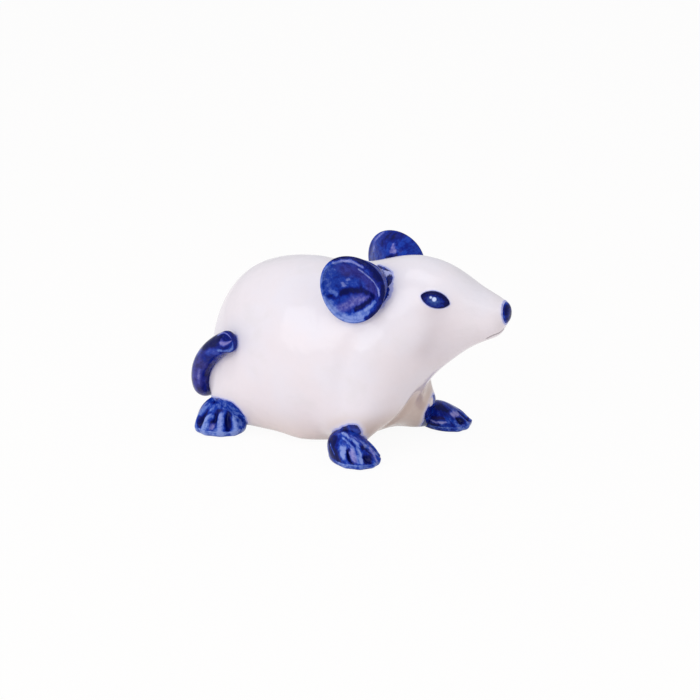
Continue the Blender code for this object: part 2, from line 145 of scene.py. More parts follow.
def eased(values, start, end):
    """Smooth rise from 0, for a value at the start, to 1 at the end."""
    t = np.clip((values - start) / (end - start), 0.0, 1.0)
    return t * t * t * (10 - 15 * t + 6 * t * t)


def fade(distance, reach, power=2):
    """From 1 at no distance toward 0 past the reach, and the more sharply the higher the power."""
    return np.exp(-(distance / reach) ** power)


def unit(ways):
    return ways / np.linalg.norm(ways, axis=-1, keepdims=True)


def round_turn(count):
    """Angles evenly spaced over one turn."""
    return np.linspace(0, math.tau, count, endpoint=False)


def spline(rows, at):
    """Smooth curve through rows that lie at 0, 1, 2 and so on."""
    count = len(rows)
    bend = np.zeros((count, count))
    pull = np.zeros_like(rows)
    bend[0, 0] = 1
    bend[-1, -1] = 1
    for k in range(1, count - 1):
        bend[k, k - 1:k + 2] = (1, 4, 1)
        pull[k] = 6 * (rows[k + 1] - 2 * rows[k] + rows[k - 1])
    second = np.linalg.solve(bend, pull)
    k = np.clip(np.floor(at).astype(int), 0, count - 2)
    after = (at - k)[:, None]
    before = 1 - after
    straight = rows[k] * before + rows[k + 1] * after
    sag = second[k] * (before ** 3 - before) + second[k + 1] * (after ** 3 - after)
    return straight + sag / 6


def rib_rows():
    """Each rib as middle x and z, half the run from bottom to top, half width and spread."""
    middle_z = (HIPS.top_z + HIPS.bottom_z) / 2
    half_height = (HIPS.top_z - HIPS.bottom_z) / 2
    rows = []
    for k in range(RUMP_STEPS):
        turn = math.radians(90) * k / RUMP_STEPS
        x = HIPS.top_x - RUMP_REACH * math.cos(turn)
        rise = half_height * math.sin(turn)
        rows.append((x, middle_z, 0, rise, HIPS.half_width * math.sin(turn), BELLY_SPREAD))
    for rib in RIBS:
        middle = ((rib.top_x + rib.bottom_x) / 2, (rib.top_z + rib.bottom_z) / 2)
        half_run = ((rib.top_x - rib.bottom_x) / 2, (rib.top_z - rib.bottom_z) / 2)
        spread = BELLY_SPREAD if rib in (HIPS, LOIN, BACK, SHOULDERS) else 0
        rows.append((*middle, *half_run, rib.half_width, spread))
    rows.append((SNOUT_TIP_X, SNOUT_TIP_Z, 0, 0, 0, 0))
    rows = np.array(rows)
    mirror = np.array((1, 1, -1, -1, -1, 1))
    return np.vstack((rows[2:0:-1] * mirror, rows, rows[-2:-4:-1] * mirror))


RIB_ROWS = rib_rows()


def lofted(along, around):
    """Points on the plain trunk and head, before legs, foot and turn."""
    x, z, run_x, run_z, half_width, spread = spline(RIB_ROWS, along + 2.0).T
    up = np.sin(around)
    side = np.cos(around)
    return np.stack((x + run_x * up, half_width * side * (1 - spread * up), z + run_z * up), axis=-1)


def leg_root(leg):
    return lofted(np.array([leg.along]), np.radians([leg.around]))[0]


def swollen(points):
    """Push the leg stumps out of the trunk."""
    out = points.copy()
    for leg in LEGS.values():
        root = leg_root(leg)
        side = math.copysign(1, root[1])
        near = np.exp(-((points - root) ** 2).sum(axis=-1) / (2 * leg.spread ** 2))
        out += near[..., None] * np.array((leg.ahead, side * leg.out, -leg.down))
    return out


def settled(points):
    """Flatten what lies below the ground, easing in over the foot."""
    out = points.copy()
    z = points[..., 2]
    ease = np.maximum(FOOT_EASE - np.abs(z), 0) ** 2 / (4 * FOOT_EASE)
    out[..., 2] = np.maximum(z, 0) + ease
    return out


def turn_at(points):
    """Angle by which the neck has turned the head at each point."""
    ahead = eased(points[..., 0], TURN_STARTS_X, TURN_ENDS_X)
    above = eased(points[..., 2], TURN_STARTS_Z, TURN_ENDS_Z)
    return HEAD_TURN * ahead * above


def turned(points):
    out = points.copy()
    turn = turn_at(points)
    x = points[..., 0] - NECK_AXIS_X
    y = points[..., 1]
    out[..., 0] = NECK_AXIS_X + x * np.cos(turn) - y * np.sin(turn)
    out[..., 1] = x * np.sin(turn) + y * np.cos(turn)
    return out


def skin(along, around):
    """Outer surface of the body at each pair of along, in ribs, and around, in radians."""
    along, around = np.broadcast_arrays(np.asarray(along, float), np.asarray(around, float))
    points = turned(settled(swollen(lofted(along.ravel(), around.ravel()))))
    return points.reshape(along.shape + (3,))


def outward(along, around):
    """The way straight out of the skin at each place of along and around."""
    inside = np.clip(along, 2 * SAMPLE_STEP, LAST_RIB - 2 * SAMPLE_STEP)
    across = skin(inside, around + SAMPLE_STEP) - skin(inside, around - SAMPLE_STEP)
    onward = skin(inside + SAMPLE_STEP, around) - skin(inside - SAMPLE_STEP, around)
    return unit(np.cross(across, onward))


def face_outward(mesh):
    """Merge doubled points, turn every face outward and shade the mesh smooth."""
    shell = bmesh.new()
    shell.from_mesh(mesh)
    bmesh.ops.remove_doubles(shell, verts=shell.verts, dist=SAME_POINT)
    bmesh.ops.recalc_face_normals(shell, faces=shell.faces)
    shell.to_mesh(mesh)
    shell.free()
    mesh.shade_smooth()


def placed(name, data):
    """New object in the scene, at the origin."""
    thing = bpy.data.objects.new(name, data)
    bpy.context.scene.collection.objects.link(thing)
    return thing


def closed_piece(name, rings, first, last):
    """Closed round piece from its rings of points, shaped (ring, point, 3), and its two end points."""
    ring_count, point_count, _ = rings.shape
    points = np.vstack((first[None], rings.reshape(-1, 3), last[None]))
    after = np.roll(np.arange(point_count), -1)
    here = np.arange(point_count)
    faces = [(0, 1 + after[k], 1 + here[k]) for k in here]
    for ring in range(ring_count - 1):
        near = 1 + ring * point_count
        far = near + point_count
        faces += [(near + k, near + after[k], far + after[k], far + k) for k in here]
    near = 1 + (ring_count - 1) * point_count
    faces += [(near + k, near + after[k], len(points) - 1) for k in here]
    mesh = bpy.data.meshes.new(name)
    mesh.from_pydata(points.tolist(), [], [tuple(int(i) for i in face) for face in faces])
    face_outward(mesh)
    return placed(name, mesh)


def points_of(piece):
    places = np.zeros(len(piece.data.vertices) * 3)
    piece.data.vertices.foreach_get("co", places)
    return places.reshape(-1, 3)


def normals_of(piece):
    return np.array([vertex.normal for vertex in piece.data.vertices])


def move_points(piece, places):
    piece.data.vertices.foreach_set("co", places.astype(np.float32).ravel())
    piece.data.update()


def note(piece, name, values):
    """Write one number, or one vector, for each point of the piece, for its glaze to read."""
    kind, key = ("FLOAT", "value") if values.ndim == 1 else ("FLOAT_VECTOR", "vector")
    attribute = piece.data.attributes.new(name, kind, "POINT")
    attribute.data.foreach_set(key, values.astype(np.float32).ravel())


def line_distance(points, line):
    """Distance from each point to a line of points."""
    line = np.array(line, float)
    least = np.full(len(points), np.inf)
    for start, end in zip(line, line[1:]):
        run = end - start
        share = np.clip((points - start) @ run / (run @ run), 0, 1)
        least = np.minimum(least, np.linalg.norm(points - start - share[:, None] * run, axis=1))
    return least


def spot_distance(points, spot):
    return np.linalg.norm(points - np.array(spot), axis=1)


even = np.linspace(0, 1, BODY_RINGS + 2)[1:-1]
gathered = (1 - np.cos(math.pi * even)) / 2
along = LAST_RIB * ((1 - RINGS_GATHERED) * even + RINGS_GATHERED * gathered)
around = round_turn(BODY_POINTS)
body_rings = skin(along[:, None], around[None, :])
rump = skin(0.0, around).mean(axis=0)
snout = skin(float(LAST_RIB), around).mean(axis=0)
body = closed_piece("rat_body", body_rings, rump, snout)


def skin_line(spots, count=60):
    """Smooth line over the skin through places of along and around, around in degrees."""
    rows = np.array(spots, float)
    if len(rows) > 2:
        rows = spline(rows, np.linspace(0, len(rows) - 1, count))
    return skin(rows[:, 0], np.radians(rows[:, 1]))


def press(places, normals, line, depth, width):
    """Press a groove along a line into the skin, and say how much of it each point has."""
    pressed = fade(line_distance(places, line), width)
    places -= normals * (depth * pressed)[:, None]
    return pressed


places = points_of(body)
normals = normals_of(body)
mouth = press(places, normals, skin_line(MOUTH), MOUTH_DEPTH, MOUTH_WIDTH)
for fold in HAUNCH_FOLDS:
    press(places, normals, skin_line(fold), FOLD_DEPTH, FOLD_WIDTH)
press(places, normals, LEG_HOLLOW, HOLLOW_DEPTH, HOLLOW_WIDTH)
press(places, normals, NECK_CREASE, CREASE_DEPTH, CREASE_WIDTH)
# Round each cheek crease the white is painted greyer, as painted shade of the hollow
cheek_shade = 0 * places[:, 0]
for fold in (CHEEK_CREASE, [(part, 180 - turn) for part, turn in CHEEK_CREASE]):
    spread = fade(line_distance(places, skin_line(fold)), CHEEK_SHADE_SPREAD)
    cheek_shade = np.maximum(cheek_shade, spread)
    press(places, normals, skin_line(fold), CHEEK_DEPTH, CHEEK_WIDTH)
for spot, push in LEG_LEAN:
    near = fade(spot_distance(places, spot), LEAN_RADIUS)
    places += push * near[:, None] * np.array(LEAN_WAY)
dab = fade(spot_distance(places, KNOB), KNOB_RADIUS, 4)
places += normals * (KNOB_HEIGHT * dab)[:, None]
from_vent = np.hypot(places[:, 0] - VENT_X, places[:, 1])
in_vent = eased(from_vent, VENT_RADIUS + VENT_EDGE / 2, VENT_RADIUS - VENT_EDGE / 2)
places[:, 2] += np.where(places[:, 2] < FOOT_EASE / 2, VENT_DEPTH * in_vent, 0)
move_points(body, places)
note(body, "mouth", mouth)
note(body, "cheek_shade", cheek_shade)
x, y, z = places.T
# Painted shade behind the left front leg and under the chest, left out at the spot that the brush missed
behind_leg = eased(x, *BEHIND_LEG_X) * eased(y, *BEHIND_LEG_Y) * eased(z, *BEHIND_LEG_Z)
under_chest = eased(x, *UNDER_CHEST_X) * eased(z, *UNDER_CHEST_Z)
bare = fade(spot_distance(places, BARE_DOT), BARE_RADIUS, 4)
note(body, "painted_shade", np.maximum(behind_leg, under_chest) * (1 - bare))


# White glaze
# Clear glossy glaze over a faintly lavender porcelain body. It pools a little unevenly, is warmer and
# darker toward the ground, and takes up blue beside everything that is painted cobalt. It is painted
# darker, as painted shade, round the cheek creases, behind the left front leg and under the chest.

WHITE = (0.832, 0.800, 0.868)
ROSY_WHITE = (0.846, 0.792, 0.842)
THIN_WHITE = (0.795, 0.760, 0.795)
CHEEK_SHADE_GREY = (0.585, 0.530, 0.575)
WARM_WHITE = (0.78, 0.69, 0.66)
SHADE_BROWN = (0.59, 0.465, 0.395)
BISCUIT = (0.72, 0.66, 0.60)
SPECK = (0.62, 0.58, 0.60)
BLEED_NEAR = (0.36, 0.40, 0.82)
BLEED_FAR = (0.74, 0.72, 0.88)
NAVY = (0.001, 0.004, 0.085)
COBALT = (0.003, 0.012, 0.220)
MID_BLUE = (0.010, 0.048, 0.400)
LIGHT_BLUE = (0.100, 0.175, 0.570)
PALE_BLUE = (0.230, 0.320, 0.710)
# Violet tint of the cobalt; its palest, lilac end is painted reflection of the softboxes
DEEP_VIOLET = (0.026, 0.020, 0.105)
VIOLET = (0.068, 0.066, 0.360)
LILAC_SHEEN = (0.290, 0.260, 0.600)
MOUTH_BROWN = (0.16, 0.13, 0.14)

# How fine each pattern in the glaze is, as its noise's scale on metres
HAND_SCALE = 55
POOL_SCALE = 70
PATCH_SCALE = 105
RIPPLE_SCALE = 130
MOTTLE_SCALE = 620
SPECKLE_SCALE = 900
RAGGED_SCALE = 1100
BLEED_RAGGED = 0.65         # millimetres by which the edge of the bleed wanders
HIND_LEGS_X = (-0.010, -0.015)      # behind this the blue on the legs is brushed thinner


def add(tree, kind, sockets=None, **settings):
    """Add a node, set or link its sockets by name or number, and return it. A colour has three numbers."""
    made = tree.nodes.new(kind)
    for key, value in settings.items():
        setattr(made, key, value)
    for key, value in (sockets or {}).items():
        socket = made.inputs[key]
        if isinstance(value, bpy.types.NodeSocket):
            tree.links.new(value, socket)
        elif socket.type == "RGBA":
            socket.default_value = (*value, 1)
        else:
            socket.default_value = value
    return made


def new_glaze(name):
    glaze = bpy.data.materials.new(name)
    glaze.use_nodes = True
    return glaze, glaze.node_tree, glaze.node_tree.nodes["Principled BSDF"]


def read(tree, name, output="Fac"):
    return add(tree, "ShaderNodeAttribute", attribute_name=name).outputs[output]


def sums(tree, operation, *values):
    """One step of arithmetic on sockets and numbers."""
    return add(tree, "ShaderNodeMath", dict(enumerate(values)), operation=operation).outputs[0]


def grain(tree, vector, scale, detail=2.0, roughness=0.5, distortion=0.0):
    """Noise from 0 to 1 on the given coordinates."""
    sockets = {"Vector": vector, "Scale": scale, "Detail": detail, "Roughness": roughness,
               "Distortion": distortion}
    return add(tree, "ShaderNodeTexNoise", sockets).outputs["Fac"]


def ranged(tree, value, low, high, to_low=0.0, to_high=1.0):
    """Smooth step of a value from one range to another."""
    sockets = {"Value": value, "From Min": low, "From Max": high, "To Min": to_low, "To Max": to_high}
    return add(tree, "ShaderNodeMapRange", sockets, interpolation_type="SMOOTHSTEP").outputs["Result"]


def blend_colour(tree, share, first, second):
    sockets = {"Factor": share, 6: first, 7: second}
    return add(tree, "ShaderNodeMix", sockets, data_type="RGBA").outputs[2]


def ramp(tree, share, *stops):
    made = add(tree, "ShaderNodeValToRGB", {"Fac": share})
    made.color_ramp.interpolation = "EASE"
    slots = made.color_ramp.elements
    while len(slots) < len(stops):
        slots.new(0.5)
    for slot, (place, colour) in zip(slots, stops):
        slot.position = place
        slot.color = (*colour, 1)
    return made.outputs["Color"]


def relief(tree, height, depth):
    return add(tree, "ShaderNodeBump", {"Height": height, "Distance": depth}).outputs[0]


def fire(tree, shader, colour, roughness, normal, specular):
    """Give a glaze its colour, roughness and relief, and say how strongly it reflects."""
    for name, value in (("Base Color", colour), ("Roughness", roughness), ("Normal", normal)):
        tree.links.new(value, shader.inputs[name])
    shader.inputs["Specular IOR Level"].default_value = specular


def mottled(tree, place, scale):
    """Mottles from -0.5 to 0.5 with most of the surface near one end or the other."""
    return ranged(tree, grain(tree, place, scale, 3, 0.55, 0.5), 0.34, 0.66, -0.5, 0.5)


def blues(tree, depth):
    """Cobalt from where it pools, 0, to where it is brushed thinnest, 1."""
    return ramp(tree, depth, (0.0, NAVY), (0.28, COBALT), (0.52, MID_BLUE), (0.78, LIGHT_BLUE),
                (1.0, PALE_BLUE))


white_glaze, tree, shader = new_glaze("white_porcelain_glaze")
place = add(tree, "ShaderNodeTexCoord").outputs["Object"]
along_body, _, height = add(tree, "ShaderNodeSeparateXYZ", {"Vector": place}).outputs
pooling = grain(tree, place, POOL_SCALE, detail=3)
patch = grain(tree, place, PATCH_SCALE, detail=4, roughness=0.6, distortion=0.4)
speckle = grain(tree, place, SPECKLE_SCALE)
ragged = sums(tree, "SUBTRACT", grain(tree, place, RAGGED_SCALE, detail=3, roughness=0.6), 0.5)
edge = sums(tree, "MULTIPLY_ADD", ragged, BLEED_RAGGED, read(tree, "to_blue"))
low = sums(tree, "MULTIPLY_ADD", pooling, 0.006, height)
on_foot = ranged(tree, height, 0.00035, 0.00010)
hind = ranged(tree, along_body, *HIND_LEGS_X, 0.24, 0.54)
cuff_depth = sums(tree, "MULTIPLY_ADD", mottled(tree, place, MOTTLE_SCALE), 0.45, hind)

# Each stain, and each painted shade, over the ones before it: how much of it shows, and its colour
white = WHITE
for share, colour in (
        (ranged(tree, pooling, 0.35, 0.65), ROSY_WHITE),
        (ranged(tree, patch, 0.52, 0.68, 0.0, 0.42), THIN_WHITE),
        (ranged(tree, speckle, 0.72, 0.82, 0.0, 0.10), SPECK),
        # warmer and darker toward the ground
        (ranged(tree, low, 0.016, 0.003, 0.0, 0.75), WARM_WHITE),
        # painted shade round the cheek creases
        (sums(tree, "MULTIPLY", read(tree, "cheek_shade"), 0.48), CHEEK_SHADE_GREY),
        # painted shade behind the left front leg and under the chest
        (sums(tree, "MULTIPLY", read(tree, "painted_shade"), 0.85), SHADE_BROWN),
        (ranged(tree, edge, 1.9, 0.5, 0.0, 0.55), BLEED_FAR),
        (ranged(tree, edge, 0.65, 0.25, 0.0, 0.85), BLEED_NEAR),
        (ranged(tree, edge, 0.12, -0.08), blues(tree, cuff_depth)),
        (sums(tree, "MULTIPLY", read(tree, "mouth"), 0.85), MOUTH_BROWN),
        (on_foot, BISCUIT)):
    white = blend_colour(tree, share, white, colour)
gloss = sums(tree, "MULTIPLY_ADD", on_foot, 0.5, ranged(tree, pooling, 0.3, 0.7, 0.12, 0.18))
hand = sums(tree, "MULTIPLY_ADD", speckle, 0.04, grain(tree, place, RIPPLE_SCALE))
hand = sums(tree, "MULTIPLY_ADD", grain(tree, place, HAND_SCALE, detail=1), 2.6, hand)
fire(tree, shader, white, gloss, relief(tree, hand, 0.00035), 0.35)
body.data.materials.append(white_glaze)
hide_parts("body_shell")
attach(body, "root")


# Cobalt glaze
# Cobalt oxide brushed on the raw pieces under the same clear glaze. It fires near black where it pools
# in a groove and pale where the brush or the glaze thins it at an edge, with mottles between the two.

# Besides the cobalt's own wash and violet tint, pale and lilac strokes lay painted reflections of the
# softboxes
Stroke = namedtuple("Stroke", "path width wash violet", defaults=(0,))
STROKE_RAGGED = 0.28        # share of a stroke's width by which its edge wanders
SPECK_SCALE = 2100
WAVE_SCALE = 240


def brushed(spots, wash, strokes):
    """Lay strokes over a wash: each has a path over flat spots, a half width and what it leaves."""
    wash = wash + 0 * spots[:, 0]
    violet = 0 * wash
    for stroke in strokes:
        ahead, aside = (spots / stroke.width).T
        ragged = (np.sin(2.1 * ahead + 1.4 * np.sin(1.7 * aside))
                  * np.sin(1.9 * aside + 1.2 * np.sin(1.3 * ahead)))
        near = line_distance(spots, stroke.path) * (1 + STROKE_RAGGED * ragged)
        cover = fade(near, stroke.width, 3)
        wash = wash * (1 - cover) + stroke.wash * cover
        violet = violet * (1 - cover) + stroke.violet * cover
    return wash, violet


def paint(piece, wash, violet, stroke):
    """Note a piece's cobalt: its wash, from -1 thin to 1 pooled, its violet and its place in a stroke. Pale
    wash and lilac violet are partly painted reflections.
    """
    note(piece, "wash", wash)
    note(piece, "violet", violet)
    note(piece, "stroke", np.stack(stroke, axis=-1))


def cobalt_glaze(name, streaks, blotches, stroke_scale=2.2):
    """Glaze over what paint() notes, with streaks along the strokes, and blotches."""
    glaze, tree, shader = new_glaze(name)
    place = add(tree, "ShaderNodeTexCoord").outputs["Object"]
    streak = mottled(tree, read(tree, "stroke", "Vector"), stroke_scale)
    depth = sums(tree, "MULTIPLY_ADD", read(tree, "wash"), -0.5, 0.5)
    for pattern, share in ((streak, streaks), (mottled(tree, place, MOTTLE_SCALE), blotches),
                           (mottled(tree, place, SPECK_SCALE), 0.10)):
        depth = sums(tree, "MULTIPLY_ADD", pattern, share, depth)
    blue = blues(tree, depth)
    # the lilac end of this ramp is painted reflection
    lilac_sheen = ramp(tree, depth, (0.0, DEEP_VIOLET), (0.5, VIOLET), (1.0, LILAC_SHEEN))
    colour = blend_colour(tree, read(tree, "violet"), blue, lilac_sheen)
    gloss = ranged(tree, depth, 0.1, 0.9, 0.05, 0.12)
    hand = sums(tree, "MULTIPLY_ADD", streak, 0.16, grain(tree, place, WAVE_SCALE))
    fire(tree, shader, colour, gloss, relief(tree, hand, 0.00024), 0.10)
    return glaze


# Paws
# Each paw is a lump of clay pressed into a low dome, luted under its leg stump with slip, and marked
# with a pointed tool: three or four lens-shaped grooves part its toes.

FRONT_PAW_LENGTH = 0.0152
FRONT_PAW_WIDTH = 0.0115
REAR_PAW_LENGTH = 0.0142
REAR_PAW_WIDTH = 0.0143
PAW_LEAN = 0.0025
SOLE_INSET = 0.0010
SOLE_HEIGHT = 0.0018
TOE_SLOPE = 0.8
TOE_WIDENING = 0.12

# Each groove's bearing from the middle toe, the shares of the way to the rim where it starts and ends,
# and its spread, with both angles in degrees
Groove = namedtuple("Groove", "bearing top foot spread")
GROOVES = {
    "front_right": (Groove(-63, 0.58, 1.00, 3.0), Groove(-17, 0.64, 1.00, 7), Groove(4, 0.44, 0.80, 6),
                    Groove(36, 0.52, 0.98, 5)),
    "front_left": (Groove(-20, 0.54, 0.98, 7), Groove(10, 0.50, 0.98, 5), Groove(38, 0.52, 0.98, 5)),
    "rear_right": (Groove(-46, 0.48, 0.98, 7), Groove(-10, 0.44, 0.98, 6), Groove(23, 0.48, 1.00, 8)),
}
GROOVES["rear_left"] = tuple(groove._replace(bearing=-groove.bearing) for groove in GROOVES["rear_right"])
GROOVE_DEPTH = 0.0010
TOE_BULGE = 0.00035
TOE_RISE = (0.35, 0.85)     # share of the way to the rim where the toes begin and are full
TOE_SPREAD = 10             # degrees
OUTER_TOE = 15              # degrees from the outermost groove to the middle of the toe beside it
FRONT_WASH = 0.30
REAR_WASH = -0.10
GROOVE_WASH = 0.9
TOE_WASH = -0.45
SOLE_WASH = -0.4
PAW_RINGS, SOLE_RINGS, PAW_POINTS = 60, 14, 216

paw_glaze = cobalt_glaze("paw_cobalt_glaze", streaks=0.30, blotches=0.24)


def toes(part, angle, grooves):
    """How deep each point lies in a groove, and how far out on a toe, both from 0 to 1."""
    from_toe = (np.degrees(angle) + 180) % 360 - 180
    groove = np.zeros(np.broadcast(part, angle).shape)
    toe = np.zeros_like(groove)
    for cut in grooves:
        lens = np.sin(math.pi * np.clip((part - cut.top) / (cut.foot - cut.top), 0, 1))
        groove += lens ** 0.8 * fade(from_toe - cut.bearing, cut.spread * (0.4 + 0.6 * lens))
    bearings = sorted(cut.bearing for cut in grooves)
    middles = [(low + high) / 2 for low, high in zip(bearings, bearings[1:])]
    for middle in (bearings[0] - OUTER_TOE, *middles, bearings[-1] + OUTER_TOE):
        toe += eased(part, *TOE_RISE) * fade(from_toe - middle, TOE_SPREAD)
    return np.minimum(groove, 1), np.minimum(toe, 1)


# Strokes on the paws, each path through spots that are a share of the way from the ankle to the rim,
# which is 1, and a bearing in degrees from the middle toe
# Some pale and lilac strokes here are painted highlights, reflections of the key softbox on the paws
PAW_STROKES = {
    "rear_right": (
        Stroke(((0.32, -43), (0.25, -5), (0.37, 43), (0.57, 63), (0.72, 65)), 0.06, 0.6),
        Stroke(((0.45, -42), (0.38, -10)), 0.08, -0.45),
        Stroke(((0.42, 18), (0.55, 42)), 0.09, -0.6),
        Stroke(((0.60, -40), (0.80, -53), (0.92, -45)), 0.10, 1.1),
        Stroke(((0.92, -32), (0.68, -34), (0.57, -22)), 0.05, -1.0),
        Stroke(((0.47, 0), (0.63, -8), (0.75, -14)), 0.06, 1.1),
        Stroke(((0.78, -13), (0.87, -13)), 0.07, -0.4, 0.9),
        Stroke(((0.53, 5), (0.72, 3), (0.95, 4)), 0.06, -0.95, 0.2),
        Stroke(((0.52, 28), (0.72, 22), (0.92, 21)), 0.09, 1.1),
        Stroke(((0.62, 40), (0.92, 37)), 0.07, -0.95),
        Stroke(((0.65, 52), (0.83, 55)), 0.09, -0.65),
        Stroke(((1.05, -45), (1.13, -8), (1.13, 23), (1.05, 50)), 0.06, -0.95),
    ),
    "front_right": (
        Stroke(((0.05, -90), (0.05, 60)), 0.10, 1.0),
        Stroke(((0.52, -128), (0.30, -108)), 0.08, -0.35, 0.2),
        Stroke(((0.55, -128), (0.83, -107), (0.98, -93)), 0.21, 1.1),
        Stroke(((0.67, -122), (0.87, -103)), 0.03, -0.4),
        Stroke(((0.20, -83), (0.28, -45), (0.37, -28), (0.47, -22)), 0.06, -0.95, 0.1),
        Stroke(((0.35, -75), (0.43, -55), (0.52, -42)), 0.035, -0.6),
        Stroke(((0.25, -35), (0.40, -2), (0.52, 8)), 0.045, -0.3, 0.35),
        Stroke(((0.62, -73), (0.80, -77)), 0.075, -0.95, 0.1),
        Stroke(((0.64, -53), (0.81, -51)), 0.11, -0.75, 0.8),
        Stroke(((0.57, -30), (0.70, -28), (0.90, -36)), 0.065, -0.95, 0.1),
        Stroke(((0.58, -56), (0.64, -64), (0.85, -66), (1.00, -58)), 0.035, 1.2),
        Stroke(((0.53, -13), (0.60, 3), (0.72, 6)), 0.06, 1.1),
        Stroke(((0.76, -24), (0.93, -27)), 0.06, 1.0),
        Stroke(((0.78, -10), (1.04, -20)), 0.07, 1.1),
        Stroke(((0.62, 15), (0.75, 12), (0.98, 3)), 0.05, -0.5, 0.7),
        Stroke(((0.80, 34), (1.00, 34)), 0.08, 0.7, 0.5),
        Stroke(((1.20, -98), (1.15, -70), (1.15, -48), (1.15, -20)), 0.07, -0.8),
    ),
    "front_left": (
        Stroke(((0.10, 60), (0.43, 52), (0.62, 50), (0.85, 46)), 0.05, -0.45, 0.5),
        Stroke(((0.42, -102), (0.30, -58), (0.47, -37)), 0.17, 1.0),
        Stroke(((0.77, -92), (0.67, -63)), 0.06, 1.1, 0.5),
        Stroke(((0.62, -108), (0.85, -102), (0.90, -88), (0.83, -70), (0.79, -60)), 0.04, -0.85, 0.8),
        Stroke(((0.95, -118), (1.05, -100), (1.05, -75)), 0.05, 0.9),
        Stroke(((0.86, -60), (0.86, -48)), 0.06, 0.4),
        Stroke(((0.55, -26), (0.55, -8)), 0.10, -0.8, 0.9),
        Stroke(((0.53, 5), (0.72, 8)), 0.04, -0.6, 0.7),
        Stroke(((0.80, -27), (0.73, -12)), 0.08, 1.2),
        Stroke(((1.20, -48), (0.95, -20)), 0.05, -0.5, 0.3),
        Stroke(((1.18, -100), (1.15, -67), (1.10, -48)), 0.05, -0.7),
        Stroke(((0.80, 37), (0.84, 12)), 0.05, 0.9, 0.3),
    ),
}
PAW_STROKES["rear_left"] = tuple(
    stroke._replace(path=tuple((share, -bearing) for share, bearing in stroke.path))
    for stroke in PAW_STROKES["rear_right"])


def laid_flat(share, bearing):
    """Places on a paw laid flat, from their share of the way to the rim and their bearing."""
    return np.stack((share * np.cos(bearing), share * np.sin(bearing)), axis=-1)


def on_paw(stroke):
    share, bearing = np.array(stroke.path).T
    return stroke._replace(path=laid_flat(share, np.radians(bearing)))


def spin_matrix(turn):
    """Turn about the upright axis."""
    cosine = math.cos(turn)
    sine = math.sin(turn)
    return np.array(((cosine, -sine, 0), (sine, cosine, 0), (0, 0, 1)))


for name, leg in LEGS.items():
    front = name.startswith("front")
    length = FRONT_PAW_LENGTH if front else REAR_PAW_LENGTH
    width = FRONT_PAW_WIDTH if front else REAR_PAW_WIDTH
    part = (np.arange(PAW_RINGS) + 1)[:, None] / PAW_RINGS
    angle = round_turn(PAW_POINTS)[None, :]
    reach = np.sin(part * math.pi / 2)
    drop = np.cos(part * math.pi / 2)
    groove, toe = toes(part, angle, GROOVES[name])
    inward = GROOVE_DEPTH * groove - TOE_BULGE * toe
    forward = np.cos(angle)
    x = (length / 2 * reach - inward) * forward - PAW_LEAN * drop
    y = (width / 2 * reach - inward) * np.sin(angle) * (1 + TOE_WIDENING * forward)
    slope = 1 + TOE_SLOPE * np.maximum(forward, 0)
    z = SOLE_HEIGHT + (leg.paw_high - SOLE_HEIGHT) * drop ** slope - inward * drop
    dome = np.stack((x, y, z), axis=-1)
    turn = (math.pi / 2 * (np.arange(SOLE_RINGS) + 1) / SOLE_RINGS)[:, None]
    rim = dome[-1]
    from_middle = np.linalg.norm(rim[:, :2], axis=1)[None, :]
    tuck = 1 - SOLE_INSET * (1 - np.cos(turn)) / from_middle
    level = SOLE_HEIGHT * (1 - np.sin(turn)) + 0 * from_middle
    sole = np.stack((rim[None, :, 0] * tuck, rim[None, :, 1] * tuck, level), axis=-1)
    root = swollen(leg_root(leg)[None, :])[0]
    side = math.copysign(1, root[1])
    seat = np.array((root[0] + leg.paw_ahead, root[1] + side * leg.paw_out, 0))
    spin = spin_matrix(math.radians(leg.toes)).T
    ankle = np.array((-PAW_LEAN, 0, leg.paw_high)) @ spin + seat
    paw = closed_piece("rat_" + name + "_paw", np.concatenate((dome, sole)) @ spin + seat, ankle, seat)

    share = np.concatenate((part, 1 + turn / math.pi * 2)) + 0 * angle
    bearing = angle + 0 * share
    share = np.concatenate(((0,), share.ravel(), (2,)))
    bearing = np.concatenate(((0,), bearing.ravel(), (0,)))
    groove, toe = toes(np.minimum(share, 1), bearing, GROOVES[name])
    wash = (FRONT_WASH if front else REAR_WASH) + GROOVE_WASH * groove + TOE_WASH * toe * (1 - groove)
    wash += SOLE_WASH * eased(share, 1.0, 1.12)
    strokes = [on_paw(stroke) for stroke in PAW_STROKES[name]]
    wash, violet = brushed(laid_flat(share, bearing), wash, strokes)
    paint(paw, wash, violet, (1.7 * np.cos(bearing), 1.7 * np.sin(bearing), 1.1 * share + leg.toes))
    paw.data.materials.append(paw_glaze)
    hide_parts(name + "_paw")
    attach(paw, "root")


# Ears
# Each ear is a disc of clay cupped over a fingertip and pressed sideways on to the head, with its wall
# left thick where it meets the crown. The cup is turned by one Geometry Nodes tree from its profile.

EAR_ALONG = 5.8
EAR_AROUND = 50
EAR_STAND_OFF = 0.0053
EAR_LIFT = 0.0012
LEFT_EAR_BACK = 0.0016
EAR_LONG_RADIUS = 0.0092
EAR_SHORT_RADIUS = 0.0090
EAR_WIDENING = 0.10
EAR_CROWNWARD = 0.0003
DISH_LONG_RADIUS = 0.0081
DISH_SHORT_RADIUS = 0.0071
DISH_DOWNWARD = 0.0004
EAR_SLOPE = math.radians(43)
EAR_FACES_AHEAD = 0.09
EAR_HOLLOW = 0.0036
EAR_LIP = 0.0007
EAR_ROOT = 0.0039
EAR_ROOT_AHEAD = 0.0028
EAR_ROOT_CROWNWARD = 0.0022
EAR_PROFILE_STEPS = 120
EAR_POINTS = 240
OUTER_EDGE_STEP = 66        # profile step at the outer edge of the lip, where the back begins
EDGE_STEPS = 6
FACE_WASH = 0.08
BACK_WASH = 0.20


